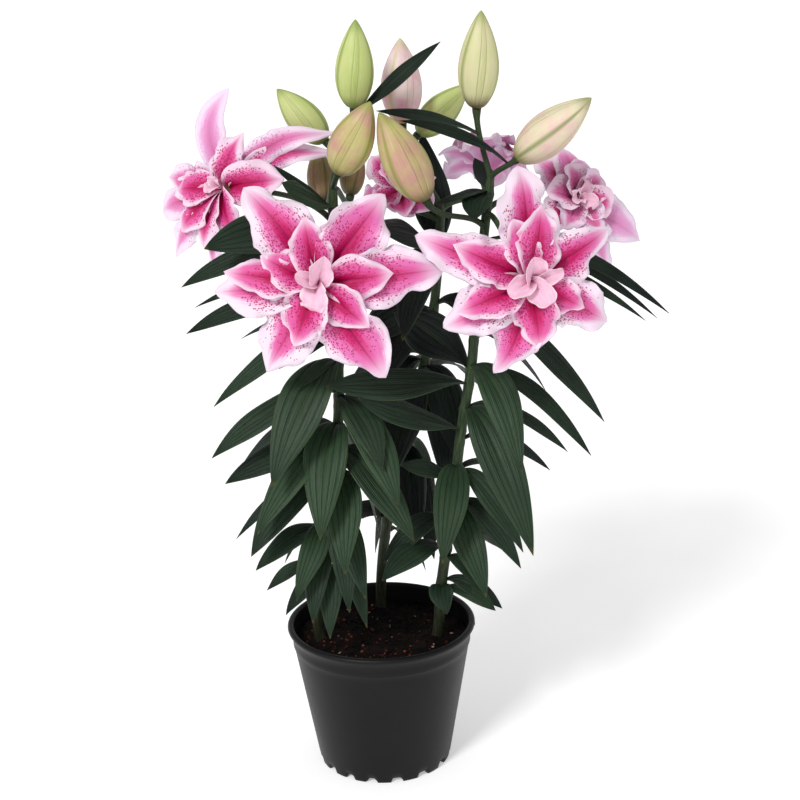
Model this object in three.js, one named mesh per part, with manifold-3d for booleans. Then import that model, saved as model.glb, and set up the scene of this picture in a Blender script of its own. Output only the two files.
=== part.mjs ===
// A potted oriental lily with three stems, double pink flowers, closed buds and a black nursery pot.
// Millimetres, +Z up. The origin is the middle of the pot's underside, and -Y is the front.

import * as THREE from 'three';
import { mergeVertices } from 'three/addons/utils/BufferGeometryUtils.js';
import Module from 'manifold-3d';

const wasm = await Module();
wasm.setup();

// Driving dimensions: the pot
const POT_HEIGHT = 150;
const RIM_RADIUS = 95;
const LIP_WIDTH = 6.5;
const LIP_HEIGHT = 9;
const BAND_HEIGHT = 22;
const BAND_STEP = 1.4;
const FOOT_RADIUS = 67;
const WALL = 2;
const FLOOR = 2.5;
const POT_SIDES = 32;
const DRAIN_NOTCHES = 16;
const NOTCH_WIDTH = 8;
const NOTCH_HEIGHT = 5;
const NOTCH_LENGTH = 16;
const POT_BEVEL = 1.5;
const LIP_FLARE = 0.6;

// Driving dimensions: the soil and what grows in it
const SOIL_LEVEL = 136;
const SOIL_CROWN = 2;
const SOIL_SIDES = 24;
const SOIL_CLEARANCE = 1;
const BULB_RADIUS = 26;
const BULB_HEIGHT = 46;
const BULB_NOSE = 43.5;
const BULB_FLOOR = 44;
const BULB_SIDES = 14;
const STEM_FOOT = BULB_FLOOR + BULB_NOSE + 0.9;
const STEM_SIDES = 6;
const STEM_STEPS = 14;
const STEM_FOOT_RADIUS = 5.6;
const STEM_TOP_RADIUS = 4.4;
const STALK_SIDES = 5;
const STALK_STEPS = 5;
const STALK_RADIUS = 3;
const STALK_LEAN = 0.25;
const STALK_RISE = 0.25;
const STALK_APPROACH = 0.35;
const COLLAR_WALL = 1.3;
const COLLAR_MARGIN = 3;
const COLLAR_STEP = 35;
const GAP = 0.35;
const SHORTEST_EDGE = 0.02;

// Driving dimensions: leaves, petals and buds
const LEAF_THICKNESS = 1.6;
const LEAF_BASE_WIDTH = 5;
const LEAF_TWIST = 0.75;
const PETAL_THICKNESS = 1.5;
const CLAW_WIDTH = 5;
const BUD_SIDES = 8;
const BUD_NECK = 3.2;
const HUB_SIDES = 6;

// Colours, roughness and metalness
const FINISHES = {
  pot: [0x2d2d2e, 0.42, 0],
  soil: [0x1c1512, 0.95, 0],
  bulb: [0xd8c9a0, 0.7, 0],
  stem: [0x46553c, 0.55, 0],
  leaf: [0x2c4d34, 0.45, 0],
  outerPetal: [0xee9cc4, 0.6, 0],
  innerPetal: [0xe0508f, 0.6, 0],
  heart: [0xf6cbd9, 0.6, 0],
  greenBud: [0xc3d58c, 0.5, 0],
  creamBud: [0xe6e2bd, 0.5, 0],
  pinkBud: [0xefd2d4, 0.5, 0],
  oliveBud: [0x9a8f5c, 0.5, 0],
};

const point = (x, y, z) => new THREE.Vector3(x, y, z);
const UP = point(0, 0, 1);
const lily = new THREE.Group();

function addPiece(name, geometry, finish) {
  const [color, roughness, metalness] = FINISHES[finish];
  const material = new THREE.MeshStandardMaterial({ color, roughness, metalness });
  const mesh = new THREE.Mesh(geometry, material);
  mesh.name = name;
  lily.add(mesh);
}

// Solids: joining and cutting

function welded(geometry) {
  const bare = geometry.clone();
  bare.deleteAttribute('normal');
  bare.deleteAttribute('uv');
  return mergeVertices(bare, 1e-4);
}

function toSolid(geometry) {
  const closed = welded(geometry);
  const vertProperties = new Float32Array(closed.attributes.position.array);
  const triVerts = new Uint32Array(closed.index.array);
  return new wasm.Manifold(new wasm.Mesh({ numProp: 3, vertProperties, triVerts }));
}

function toGeometry(solid) {
  const mesh = solid.simplify(SHORTEST_EDGE).getMesh();
  const geometry = new THREE.BufferGeometry();
  geometry.setAttribute('position', new THREE.BufferAttribute(new Float32Array(mesh.vertProperties), 3));
  geometry.setIndex(Array.from(mesh.triVerts));
  geometry.computeVertexNormals();
  return geometry;
}

function joined(solids) {
  return solids.reduce((whole, solid) => whole.add(solid));
}

// A closed skin through rings of points. Each ring runs counter-clockwise about the direction of
// travel. A ring of one point is a pointed end, and other end rings are closed flat. The faces of
// neighbouring sides mirror each other, so that the two faces of a thin blade never cross.
function loft(rings) {
  const starts = [];
  let total = 0;
  for (const ring of rings) {
    starts.push(total);
    total += ring.length;
  }
  const faces = [];
  for (let row = 0; row + 1 < rings.length; row += 1) {
    const sides = Math.max(rings[row].length, rings[row + 1].length);
    for (let side = 0; side < sides; side += 1) {
      const next = (side + 1) % sides;
      const pointedStart = rings[row].length === 1;
      const pointedEnd = rings[row + 1].length === 1;
      const a = starts[row] + (pointedStart ? 0 : side);
      const b = starts[row] + (pointedStart ? 0 : next);
      const c = starts[row + 1] + (pointedEnd ? 0 : next);
      const d = starts[row + 1] + (pointedEnd ? 0 : side);
      const mirrored = side % 2 === 1;
      if (!pointedStart) faces.push(a, b, mirrored ? d : c);
      if (!pointedEnd) faces.push(mirrored ? b : a, c, d);
    }
  }
  const last = rings.length - 1;
  for (let side = 1; side + 1 < rings[0].length; side += 1) {
    faces.push(starts[0], starts[0] + side + 1, starts[0] + side);
  }
  for (let side = 1; side + 1 < rings[last].length; side += 1) {
    faces.push(starts[last], starts[last] + side, starts[last] + side + 1);
  }
  const geometry = new THREE.BufferGeometry().setFromPoints(rings.flat());
  geometry.setIndex(faces);
  geometry.computeVertexNormals();
  return geometry;
}

// A round ring of points across a direction
function roundRing(centre, direction, radius, sides) {
  const reference = Math.abs(direction.z) > 0.9 ? point(1, 0, 0) : UP;
  const across = new THREE.Vector3().crossVectors(reference, direction).normalize();
  const over = new THREE.Vector3().crossVectors(direction, across).normalize();
  const ring = [];
  for (let side = 0; side < sides; side += 1) {
    const turn = (2 * Math.PI * side) / sides;
    const spot = centre.clone().addScaledVector(across, radius * Math.cos(turn));
    ring.push(spot.addScaledVector(over, radius * Math.sin(turn)));
  }
  return ring;
}

// A tapered round rod along a curve
function rod(curve, steps, startRadius, endRadius, sides) {
  const rings = [];
  for (let step = 0; step <= steps; step += 1) {
    const along = step / steps;
    const radius = THREE.MathUtils.lerp(startRadius, endRadius, along);
    rings.push(roundRing(curve.getPoint(along), curve.getTangent(along), radius, sides));
  }
  return loft(rings);
}

// A turned body that stands on `foot` and points towards `direction`
function turned(profile, sides, foot, direction) {
  const geometry = new THREE.LatheGeometry(profile.map(([r, h]) => new THREE.Vector2(r, h)), sides);
  const turn = new THREE.Quaternion().setFromUnitVectors(point(0, 1, 0), direction.clone().normalize());
  geometry.applyQuaternion(turn);
  geometry.translate(foot.x, foot.y, foot.z);
  return welded(geometry);
}

// Blades: the common form of leaves and petals.
// The midrib is a cubic curve in the plane of `heading` and `face`. Across it the blade is a thin
// lens with its two edges raised by `foldAt` times the width, and rolled about the midrib by `rollAt`.
const BLADE_STEPS = [0, 0.1, 0.24, 0.42, 0.62, 0.83, 1];

function blade({ controls, heading, face, widthAt, foldAt, rollAt, thickness }) {
  const midrib = new THREE.CubicBezierCurve3(...controls);
  const side = new THREE.Vector3().crossVectors(face, heading).normalize();
  const rings = [];
  for (const along of BLADE_STEPS) {
    const centre = midrib.getPoint(along);
    if (along === 1) {
      rings.push([centre]);
      continue;
    }
    const tangent = midrib.getTangent(along);
    const across = side.clone().applyAxisAngle(tangent, rollAt(along));
    const normal = new THREE.Vector3().crossVectors(tangent, across).normalize();
    const half = widthAt(along) / 2;
    const raised = centre.clone().addScaledVector(normal, 2 * half * foldAt(along));
    rings.push([
      raised.clone().addScaledVector(across, half),
      centre.clone().addScaledVector(normal, thickness / 2),
      raised.clone().addScaledVector(across, -half),
      centre.clone().addScaledVector(normal, -thickness / 2),
    ]);
  }
  return toSolid(loft(rings));
}

// The pot

function potWallRadius(height) {
  const bandFoot = POT_HEIGHT - BAND_HEIGHT;
  const bandRadius = RIM_RADIUS - LIP_WIDTH + WALL - BAND_STEP;
  return THREE.MathUtils.lerp(FOOT_RADIUS, bandRadius, height / bandFoot);
}

function potGeometry() {
  const bandFoot = POT_HEIGHT - BAND_HEIGHT;
  const bandRadius = potWallRadius(bandFoot);
  const lipFoot = POT_HEIGHT - LIP_HEIGHT;
  const mouth = RIM_RADIUS - LIP_WIDTH;
  const profile = [
    [0, 0],
    [FOOT_RADIUS - POT_BEVEL, 0],
    [potWallRadius(2 * POT_BEVEL), 2 * POT_BEVEL],
    [bandRadius, bandFoot],
    [bandRadius + BAND_STEP, bandFoot + BAND_STEP],
    [mouth + WALL + LIP_FLARE, lipFoot],
    [RIM_RADIUS, lipFoot],
    [RIM_RADIUS, POT_HEIGHT - POT_BEVEL],
    [RIM_RADIUS - POT_BEVEL, POT_HEIGHT],
    [mouth + POT_BEVEL, POT_HEIGHT],
    [mouth, POT_HEIGHT - POT_BEVEL],
    [bandRadius - WALL, bandFoot],
    [potWallRadius(FLOOR) - WALL, FLOOR],
    [0, FLOOR],
  ];
  let pot = toSolid(turned(profile, POT_SIDES, point(0, 0, 0), UP));
  for (let index = 0; index < DRAIN_NOTCHES; index += 1) {
    const turn = (2 * Math.PI * (index + 0.5)) / DRAIN_NOTCHES;
    const notch = new THREE.BoxGeometry(NOTCH_LENGTH, NOTCH_WIDTH, 2 * NOTCH_HEIGHT);
    notch.translate(FOOT_RADIUS, 0, 0);
    notch.rotateZ(turn);
    pot = pot.subtract(toSolid(notch));
  }
  return toGeometry(pot);
}

// Stems. Each path runs from the nose of the bulb to the flower head, and `stalks` gives the height
// at which the stalk of each bud or flower leaves the stem.

const PLANTS = {
  left: {
    bulb: point(-45, -12, BULB_FLOOR),
    path: [
      point(-45, -12, STEM_FOOT), point(-46, -12, 97), point(-62, -12, 136), point(-55, -24, 211),
      point(-47, -33, 275), point(-34, -36, 386), point(-32, -34, 455), point(-32, -32, 531),
      point(-31, -30, 602),
    ],
    stalks: {
      bud_1: 598,
      bud_6: 598,
      bud_8: 594,
      bud_9: 592,
      bud_10: 592,
      flower_left: 566,
      flower_front_left: 566,
    },
  },
  middle: {
    bulb: point(0, 46, BULB_FLOOR),
    path: [
      point(0, 46, STEM_FOOT), point(0, 47, 97), point(0, 62, 136), point(3, 56, 188), point(10, 54, 237),
      point(25, 54, 301), point(39, 56, 353), point(54, 58, 410), point(65, 58, 477), point(72, 56, 565),
    ],
    stalks: { bud_2: 560, bud_4: 560, flower_back_left: 545, flower_back: 556 },
  },
  right: {
    bulb: point(45, -12, BULB_FLOOR),
    path: [
      point(45, -12, STEM_FOOT), point(46, -12, 97), point(56, -12, 136), point(60, -23, 188),
      point(73, -26, 276), point(84, -22, 359), point(95, -18, 422), point(99, -15, 464),
      point(107, -12, 532), point(116, -10, 603),
    ],
    stalks: { bud_3: 600, bud_5: 600, bud_7: 553, flower_right: 568, flower_front_right: 562 },
  },
};

// The stem itself, `extra` larger all round
function stemRod({ path }, extra) {
  const curve = new THREE.CatmullRomCurve3(path);
  return rod(curve, STEM_STEPS, STEM_FOOT_RADIUS + extra, STEM_TOP_RADIUS + extra, STEM_SIDES);
}

// Where a stalk ends: the foot of its bud, or of its flower's outer petals, and the way that it points
function stalkEnd(name) {
  if (BUDS[name]) {
    const [foot, tip] = BUDS[name];
    return { foot, axis: tip.clone().sub(foot).normalize() };
  }
  const { middle, faces } = FLOWERS[name];
  const axis = faces.clone().normalize();
  return { foot: middle.clone().addScaledVector(axis, OUTER.seat - OUTER.hubDepth / 2), axis };
}

// A stalk leaves the stem upwards and comes straight into the foot of what it carries
function stalkRod(plant, name, height) {
  const start = stemSpot(plant, height);
  const { foot, axis } = stalkEnd(name);
  const end = foot.clone().addScaledVector(axis, -2 * GAP);
  const span = end.distanceTo(start);
  const sideways = end.clone().sub(start).setZ(0).multiplyScalar(STALK_LEAN);
  const controls = [
    start,
    start.clone().add(sideways).addScaledVector(UP, STALK_RISE * span),
    end.clone().addScaledVector(axis, -STALK_APPROACH * span),
    end,
  ];
  return rod(new THREE.CubicBezierCurve3(...controls), STALK_STEPS, STALK_RADIUS, STALK_RADIUS, STALK_SIDES);
}

// A stem with its flower stalks
function stemSolid(plant) {
  const stalks = Object.entries(plant.stalks).map(([name, height]) => toSolid(stalkRod(plant, name, height)));
  return joined([toSolid(stemRod(plant, 0)), ...stalks]);
}

// The middle of a stem at a height
function stemSpot({ path }, height) {
  const curve = new THREE.CatmullRomCurve3(path);
  let low = 0;
  let high = 1;
  for (let halving = 0; halving < 30; halving += 1) {
    const middle = (low + high) / 2;
    if (curve.getPoint(middle).z < height) low = middle;
    else high = middle;
  }
  return curve.getPoint(low);
}

function stemRadius({ path }, height) {
  const along = (height - path[0].z) / (path[path.length - 1].z - path[0].z);
  return THREE.MathUtils.lerp(STEM_FOOT_RADIUS, STEM_TOP_RADIUS, along);
}

// The bulb: a squat onion shape with a short nose, `extra` larger all round
function bulbSolid(bulb, extra) {
  const noseHeight = BULB_NOSE + 3 * extra;
  const profile = [
    [0, -extra],
    [BULB_RADIUS * 0.55 + extra, -extra],
    [BULB_RADIUS + extra, BULB_HEIGHT * 0.32],
    [BULB_RADIUS * 0.86 + extra, BULB_HEIGHT * 0.62],
    [BULB_RADIUS * 0.42 + extra, BULB_HEIGHT * 0.86 + extra],
    [BULB_RADIUS * 0.3 + extra, noseHeight],
    [0, noseHeight],
  ];
  return toSolid(turned(profile, BULB_SIDES, bulb, UP));
}

// The soil fills the pot and has a hollow for each bulb and stem
function soilGeometry() {
  const inside = (height) => potWallRadius(height) - WALL - SOIL_CLEARANCE;
  const bandFoot = POT_HEIGHT - BAND_HEIGHT;
  const profile = [
    [0, FLOOR + GAP],
    [inside(FLOOR + GAP), FLOOR + GAP],
    [inside(bandFoot), bandFoot],
    [inside(bandFoot), SOIL_LEVEL - SOIL_CROWN],
    [inside(bandFoot) * 0.6, SOIL_LEVEL],
    [0, SOIL_LEVEL],
  ];
  let soil = toSolid(turned(profile, SOIL_SIDES, point(0, 0, 0), UP));
  for (const plant of Object.values(PLANTS)) {
    soil = soil.subtract(bulbSolid(plant.bulb, GAP));
    soil = soil.subtract(toSolid(stemRod(plant, GAP)));
  }
  return toGeometry(soil);
}

// Leaves

const leafWidthAt = (width) => (along) =>
  LEAF_BASE_WIDTH * (1 - along) + (width - 0.5 * LEAF_BASE_WIDTH) * Math.sin(Math.PI * along ** 0.9) ** 0.9;

const leafFoldAt = (along) => 0.14 - 0.06 * along;

// A leaf that springs `offset` away from the middle of what carries it. Leaves that lie across the
// plant twist along their length, so that their upper face turns to the front.
function leafSolid(middle, offset, [tipX, tipY, tipZ, width, rise]) {
  const tip = point(tipX, tipY, tipZ);
  const heading = tip.clone().sub(middle).setZ(0).normalize();
  const start = middle.clone().addScaledVector(heading, offset);
  const reach = tip.clone().sub(start).setZ(0).length();
  const drop = tip.z - start.z;
  const at = (out, up) => start.clone().addScaledVector(heading, out * reach).setZ(start.z + up);
  const controls = [start, at(0.33, 0.75 * rise + 0.08 * drop), at(0.72, 0.5 * rise + 0.55 * drop), tip];
  return blade({
    controls,
    heading,
    face: UP,
    widthAt: leafWidthAt(width),
    foldAt: leafFoldAt,
    rollAt: (along) => LEAF_TWIST * heading.x * Math.sin(0.5 * Math.PI * along),
    thickness: LEAF_THICKNESS,
  });
}

// A tier of leaves, joined by the thin ring of their bases round the stem.
// Each leaf is its height on the stem, then tip x, y and z, width and rise.
function tierSolid(plant, leaves) {
  const heights = leaves.map(([height]) => height);
  const low = Math.min(...heights) - COLLAR_MARGIN;
  const high = Math.max(...heights) + COLLAR_MARGIN;
  const rings = [];
  const steps = Math.ceil((high - low) / COLLAR_STEP);
  for (let step = 0; step <= steps; step += 1) {
    const height = THREE.MathUtils.lerp(low, high, step / steps);
    const radius = stemRadius(plant, height) + GAP + COLLAR_WALL;
    rings.push(roundRing(stemSpot(plant, height), UP, radius, STEM_SIDES));
  }
  const collar = toSolid(loft(rings)).subtract(toSolid(stemRod(plant, GAP)));
  const blades = leaves.map(([height, ...shape]) => {
    const offset = stemRadius(plant, height) + GAP + 0.2 * COLLAR_WALL;
    return leafSolid(stemSpot(plant, height), offset, shape);
  });
  return joined([collar, ...blades]);
}

const LEAF_TIERS = {
  left: [
    [
      [223, -50, -78, 167, 24, 14], [215, -92, -70, 190, 18, 12], [219, -112, -30, 199, 18, 14],
      [245, -66, -84, 187, 26, 14], [250, -14, -72, 174, 23, 16],
    ],
    [
      [262, -96, 20, 206, 18, 14], [268, -80, -92, 214, 26, 16], [264, -118, -80, 242, 24, 16],
      [275, -30, -92, 200, 26, 14], [280, -14, -102, 218, 27, 16],
    ],
    [[325, -32, -120, 252, 36, 18], [320, -120, -100, 265, 36, 18], [314, -139, -30, 255, 20, 16]],
    [
      [347, 33, -112, 279, 38, 18], [345, -144, -58, 323, 30, 18], [358, -112, -112, 292, 34, 16],
      [373, -54, -122, 288, 42, 14], [368, -130, 10, 321, 26, 16], [366, 2, 8, 232, 42, 14],
    ],
    [
      [404, -153, -80, 357, 32, 18], [392, 20, -118, 318, 38, 10], [433, -96, -116, 340, 46, 16],
      [400, 6, -108, 350, 32, 6], [435, -70, -76, 420, 14, 8],
    ],
    [[460, -150, -60, 401, 25, 12], [450, -89, -30, 427, 20, 10], [475, -127, 24, 443, 17, 12]],
    [[493, -172, -50, 470, 26, 20], [508, -168, 4, 481, 14, 20]],
    [[542, -174, -48, 514, 28, 22], [551, -148, -78, 556, 44, 24]],
    [[580, -76, -68, 612, 32, 8], [581, -84, -44, 624, 10, 14]],
  ],
  middle: [
    [[219, 45, 122, 158, 18, 18], [236, 50, 128, 146, 18, 22], [238, -28, 66, 242, 24, 14]],
    [
      [290, -4, 96, 182, 36, 14], [322, 66, 112, 190, 26, 16], [330, -48, 90, 262, 30, 16],
      [316, 38, 2, 226, 34, 10], [326, 0, 34, 246, 34, 14], [300, 56, 22, 204, 30, 14],
    ],
    [
      [392, 112, 142, 350, 28, 18], [400, 28, 150, 352, 32, 18], [410, -20, 96, 380, 30, 14],
      [385, 14, -2, 300, 42, 16], [398, 84, 4, 310, 38, 14],
      [388, 72, 8, 276, 32, 14], [404, -6, 44, 326, 34, 16],
    ],
    [[455, -12, 30, 430, 42, 16], [462, 130, 60, 420, 32, 18], [458, 6, 16, 392, 38, 14]],
    [
      [523, 28, -78, 464, 36, 16], [518, 8, -34, 560, 44, 26], [500, 120, 140, 470, 34, 24],
      [525, 56, 84, 630, 38, 12],
    ],
  ],
  right: [
    [[196, 64, -60, 180, 24, 8], [201, 120, -40, 175, 20, 10], [193, 112, -62, 183, 19, 8]],
    [
      [228, 92, -70, 214, 17, 10], [239, 127, 30, 208, 16, 16], [237, 2, -72, 223, 30, 20],
      [255, 128, -5, 219, 17, 12], [265, 4, -34, 226, 26, 16],
    ],
    [
      [280, 101, -90, 210, 32, 14], [284, 137, -60, 226, 25, 16], [322, 59, -113, 256, 33, 14],
      [316, 138, -75, 249, 24, 16], [316, 154, 40, 266, 17, 18], [312, 23, -60, 337, 22, 10],
    ],
    [
      [347, 172, 0, 304, 17, 18], [358, -15, -80, 411, 32, 14], [379, 145, -103, 257, 40, 18],
      [379, 187, -20, 330, 18, 18],
    ],
    [
      [414, 206, -50, 336, 20, 18], [403, -44, -85, 425, 36, 10], [421, 135, -104, 340, 36, 16],
      [417, 22, 2, 470, 44, 30],
    ],
    [[460, 217, -60, 373, 30, 20], [446, 172, 40, 374, 17, 16]],
    [[541, 279, -46, 473, 16, 22], [532, 272, -20, 462, 14, 22], [524, 253, -68, 473, 14, 20]],
    [[587, 62, -48, 584, 13, 6], [584, 96, -58, 570, 26, 6], [588, 104, 36, 611, 18, 8]],
  ],
};

// Small leaves at the flower stalks: the start of each, then tip, width and rise
const STALK_LEAVES = {
  left_stalk_leaf: [point(-9.5, 0, 655), [72, 0, 725, 15, 30]],
  right_stalk_leaf_1: [point(105, -7, 640), [11, -2, 664, 13, 18]],
  right_stalk_leaf_2: [point(130, -21, 615), [31, -34, 659, 11, 34]],
};

// Buds: foot, tip, largest diameter and finish
const BUDS = {
  bud_1: [point(-9, 0, 667), point(-5, -5, 748), 35, 'greenBud'],
  bud_2: [point(36, 45, 645), point(36, 45, 725), 38, 'pinkBud'],
  bud_3: [point(104, -5, 664), point(109, -10, 753), 37, 'creamBud'],
  bud_4: [point(52, 70, 630), point(101, 75, 676), 32, 'greenBud'],
  bud_5: [point(139, -25, 619), point(205, -45, 676), 39, 'creamBud'],
  bud_6: [point(-25, -50, 616), point(6, -75, 683), 38, 'creamBud'],
  bud_7: [point(53, -60, 591), point(13, -80, 674), 40, 'creamBud'],
  bud_8: [point(-37, 20, 634), point(-81, 30, 683), 32, 'greenBud'],
  bud_9: [point(-40, 22, 576), point(-46, 40, 626), 26, 'oliveBud'],
  bud_10: [point(-16, 40, 578), point(-8, 54, 626), 24, 'oliveBud'],
};

function budGeometry(foot, tip, diameter) {
  const length = tip.distanceTo(foot);
  const profile = [[0, 0], [BUD_NECK, 0]];
  for (const along of [0.1, 0.26, 0.45, 0.65, 0.85]) {
    const swell = Math.sin(Math.PI * along ** 0.85) ** 0.75;
    profile.push([Math.max(BUD_NECK, (diameter / 2) * swell), length * along]);
  }
  profile.push([0, length]);
  return turned(profile, BUD_SIDES, foot, tip.clone().sub(foot));
}

// Flowers. A flower has a middle, a direction that it faces, and rings of petals.
// Each petal is its angle in degrees (seen from the front, from its right-hand side, counter-clockwise),
// reach from the axis, how far its tip stands in front of the middle, and width.

const OUTER = { seat: -22, throat: -4, shoulder: 8, hubRadius: 6, hubDepth: 7, roll: 0.2 };
const INNER = { seat: -13, throat: 6, shoulder: 15, hubRadius: 4.5, hubDepth: 4, roll: 0.3 };
const HEART = { seat: -7.5, throat: 12, shoulder: 20, hubRadius: 3, hubDepth: 3, roll: 0.4 };

const petalWidthAt = (width) => (along) =>
  CLAW_WIDTH * (1 - along) + (width - 0.5 * CLAW_WIDTH) * Math.sin(Math.PI * along ** 1.15) ** 1.5;

const petalFoldAt = (along) => 0.14 - 0.2 * along;

function whorlSolid({ middle, faces }, ring, petals) {
  const axis = faces.clone().normalize();
  const right = new THREE.Vector3().crossVectors(UP, axis).normalize();
  const over = new THREE.Vector3().crossVectors(axis, right);
  const hubFoot = middle.clone().addScaledVector(axis, ring.seat - ring.hubDepth / 2);
  const hubProfile = [[0, 0], [ring.hubRadius * 0.7, 0], [ring.hubRadius, ring.hubDepth], [0, ring.hubDepth]];
  const solids = [toSolid(turned(hubProfile, HUB_SIDES, hubFoot, axis))];
  for (const [angle, reach, lift, width] of petals) {
    const turn = THREE.MathUtils.degToRad(angle);
    const heading = right.clone().multiplyScalar(Math.cos(turn)).addScaledVector(over, Math.sin(turn));
    const at = (out, front) => middle.clone().addScaledVector(heading, out).addScaledVector(axis, front);
    const controls = [
      at(0.75 * ring.hubRadius, ring.seat),
      at(0.15 * reach, ring.throat),
      at(0.6 * reach, ring.shoulder),
      at(reach, lift),
    ];
    solids.push(blade({
      controls,
      heading,
      face: axis,
      widthAt: petalWidthAt(width),
      foldAt: petalFoldAt,
      rollAt: () => ring.roll,
      thickness: PETAL_THICKNESS,
    }));
  }
  return joined(solids);
}

const FLOWERS = {
  flower_front_left: {
    middle: point(-46, -115, 530),
    faces: point(-0.08, -1, 0.15),
    outer: [
      [129, 108, -24, 54], [52, 97, -20, 58], [5, 112, -24, 54], [-57, 105, -20, 56], [-122, 97, -24, 56],
      [185, 96, -20, 50],
    ],
    inner: [
      [100, 60, 4, 38], [153, 56, 4, 38], [172, 84, 2, 36], [7, 68, 4, 44], [-41, 60, 4, 38],
      [-112, 60, 4, 44],
    ],
    heart: [[70, 24, 26, 22], [150, 20, 20, 14], [262, 24, 14, 24]],
  },
  flower_front_right: {
    middle: point(143, -105, 524),
    faces: point(0.15, -1, 0.1),
    outer: [
      [91, 100, -22, 56], [156, 108, -22, 46], [208, 87, -20, 50], [250, 92, -22, 50], [329, 89, -20, 48],
      [27, 90, -20, 46],
    ],
    inner: [
      [81, 69, 6, 44], [105, 58, 4, 34], [152, 79, 4, 42], [199, 73, 4, 40], [275, 62, 4, 44],
      [330, 56, 4, 36],
    ],
    heart: [[95, 22, 24, 22], [195, 24, 16, 18], [305, 22, 18, 22], [20, 26, 18, 12]],
  },
  flower_left: {
    middle: point(-136, 8, 596),
    faces: point(-0.55, -0.8, 0.25),
    outer: [
      [87, 91, 10, 30], [31, 118, -20, 32], [23, 108, -30, 28], [176, 74, -10, 38], [198, 90, -20, 42],
      [227, 98, -24, 34], [261, 87, -24, 30],
    ],
    inner: [
      [68, 56, 2, 34], [9, 80, 10, 44], [188, 50, 4, 36], [228, 62, 2, 38], [258, 60, 2, 38],
      [300, 50, 4, 36],
    ],
    heart: [[90, 10, 16, 12], [210, 10, 16, 12]],
  },
  flower_back_left: {
    middle: point(32, 26, 585),
    faces: point(-0.2, -0.7, 0.7),
    outer: [[30, 36, -6, 34], [134, 50, 2, 36], [200, 40, 0, 32], [328, 42, 0, 40]],
    inner: [[60, 32, 10, 28], [110, 36, 10, 30], [240, 40, 10, 30], [290, 40, 10, 30]],
  },
  flower_back: {
    middle: point(122, 106, 596),
    faces: point(0.1, 0.55, 0.83),
    outer: [
      [30, 54, -6, 40], [90, 70, -10, 42], [150, 56, -10, 40], [210, 48, -4, 38], [270, 56, -6, 40],
      [330, 56, -8, 40],
    ],
    inner: [
      [60, 48, 8, 34], [120, 48, 8, 34], [180, 44, 8, 34], [240, 46, 10, 32], [300, 46, 10, 32],
      [0, 44, 8, 34],
    ],
    heart: [[45, 11, 18, 10], [165, 11, 18, 10], [285, 11, 18, 10]],
  },
  flower_right: {
    middle: point(198, 20, 570),
    faces: point(0.45, -0.8, 0.4),
    outer: [
      [117, 54, -14, 44], [82, 54, -10, 44], [52, 48, -10, 40], [328, 88, -14, 44], [290, 78, -14, 34],
      [208, 40, -10, 40],
    ],
    inner: [
      [100, 34, 12, 34], [32, 34, 10, 34], [338, 36, 10, 34], [288, 42, 10, 32], [225, 38, 10, 32],
      [164, 38, 10, 34],
    ],
    heart: [[70, 14, 18, 12], [190, 14, 18, 12], [310, 14, 18, 12]],
  },
};

// The whole object

addPiece('pot', potGeometry(), 'pot');
addPiece('soil', soilGeometry(), 'soil');

for (const [side, plant] of Object.entries(PLANTS)) {
  addPiece(`${side}_bulb`, toGeometry(bulbSolid(plant.bulb, 0)), 'bulb');
  addPiece(`${side}_stem`, toGeometry(stemSolid(plant)), 'stem');
  LEAF_TIERS[side].forEach((leaves, index) => {
    addPiece(`${side}_leaves_${index + 1}`, toGeometry(tierSolid(plant, leaves)), 'leaf');
  });
}

for (const [name, [start, shape]] of Object.entries(STALK_LEAVES)) {
  addPiece(name, toGeometry(leafSolid(start, STALK_RADIUS + GAP, shape)), 'leaf');
}

for (const [name, [foot, tip, diameter, finish]] of Object.entries(BUDS)) {
  addPiece(name, budGeometry(foot, tip, diameter), finish);
}

for (const [name, flower] of Object.entries(FLOWERS)) {
  addPiece(`${name}_outer_petals`, toGeometry(whorlSolid(flower, OUTER, flower.outer)), 'outerPetal');
  addPiece(`${name}_inner_petals`, toGeometry(whorlSolid(flower, INNER, flower.inner)), 'innerPetal');
  if (flower.heart) {
    addPiece(`${name}_heart`, toGeometry(whorlSolid(flower, HEART, flower.heart)), 'heart');
  }
}

export default lily;
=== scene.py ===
"""A potted oriental lily: the finished surfaces of its pot, soil, stems, leaves, buds and flowers.

Blender works in metres, +Z up and -Y to the front. The tables below give places in millimetres, as
gardeners measure plants, and MM turns them into metres where a surface is made.
"""

import math

import bpy
import numpy as np
from mathutils import Matrix


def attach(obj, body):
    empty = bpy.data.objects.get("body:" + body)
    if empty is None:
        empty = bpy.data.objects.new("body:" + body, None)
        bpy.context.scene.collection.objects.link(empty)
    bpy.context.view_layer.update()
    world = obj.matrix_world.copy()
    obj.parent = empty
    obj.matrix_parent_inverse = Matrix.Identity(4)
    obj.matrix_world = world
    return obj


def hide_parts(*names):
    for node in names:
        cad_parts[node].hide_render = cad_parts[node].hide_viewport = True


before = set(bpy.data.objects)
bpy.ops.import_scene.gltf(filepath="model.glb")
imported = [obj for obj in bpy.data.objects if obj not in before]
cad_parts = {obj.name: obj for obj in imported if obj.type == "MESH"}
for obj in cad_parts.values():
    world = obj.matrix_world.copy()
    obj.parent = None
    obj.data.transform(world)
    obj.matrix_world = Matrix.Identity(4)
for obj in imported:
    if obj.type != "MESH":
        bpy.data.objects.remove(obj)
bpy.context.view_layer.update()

MM = 0.001
UP = np.array([0.0, 0.0, 1.0])

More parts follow.
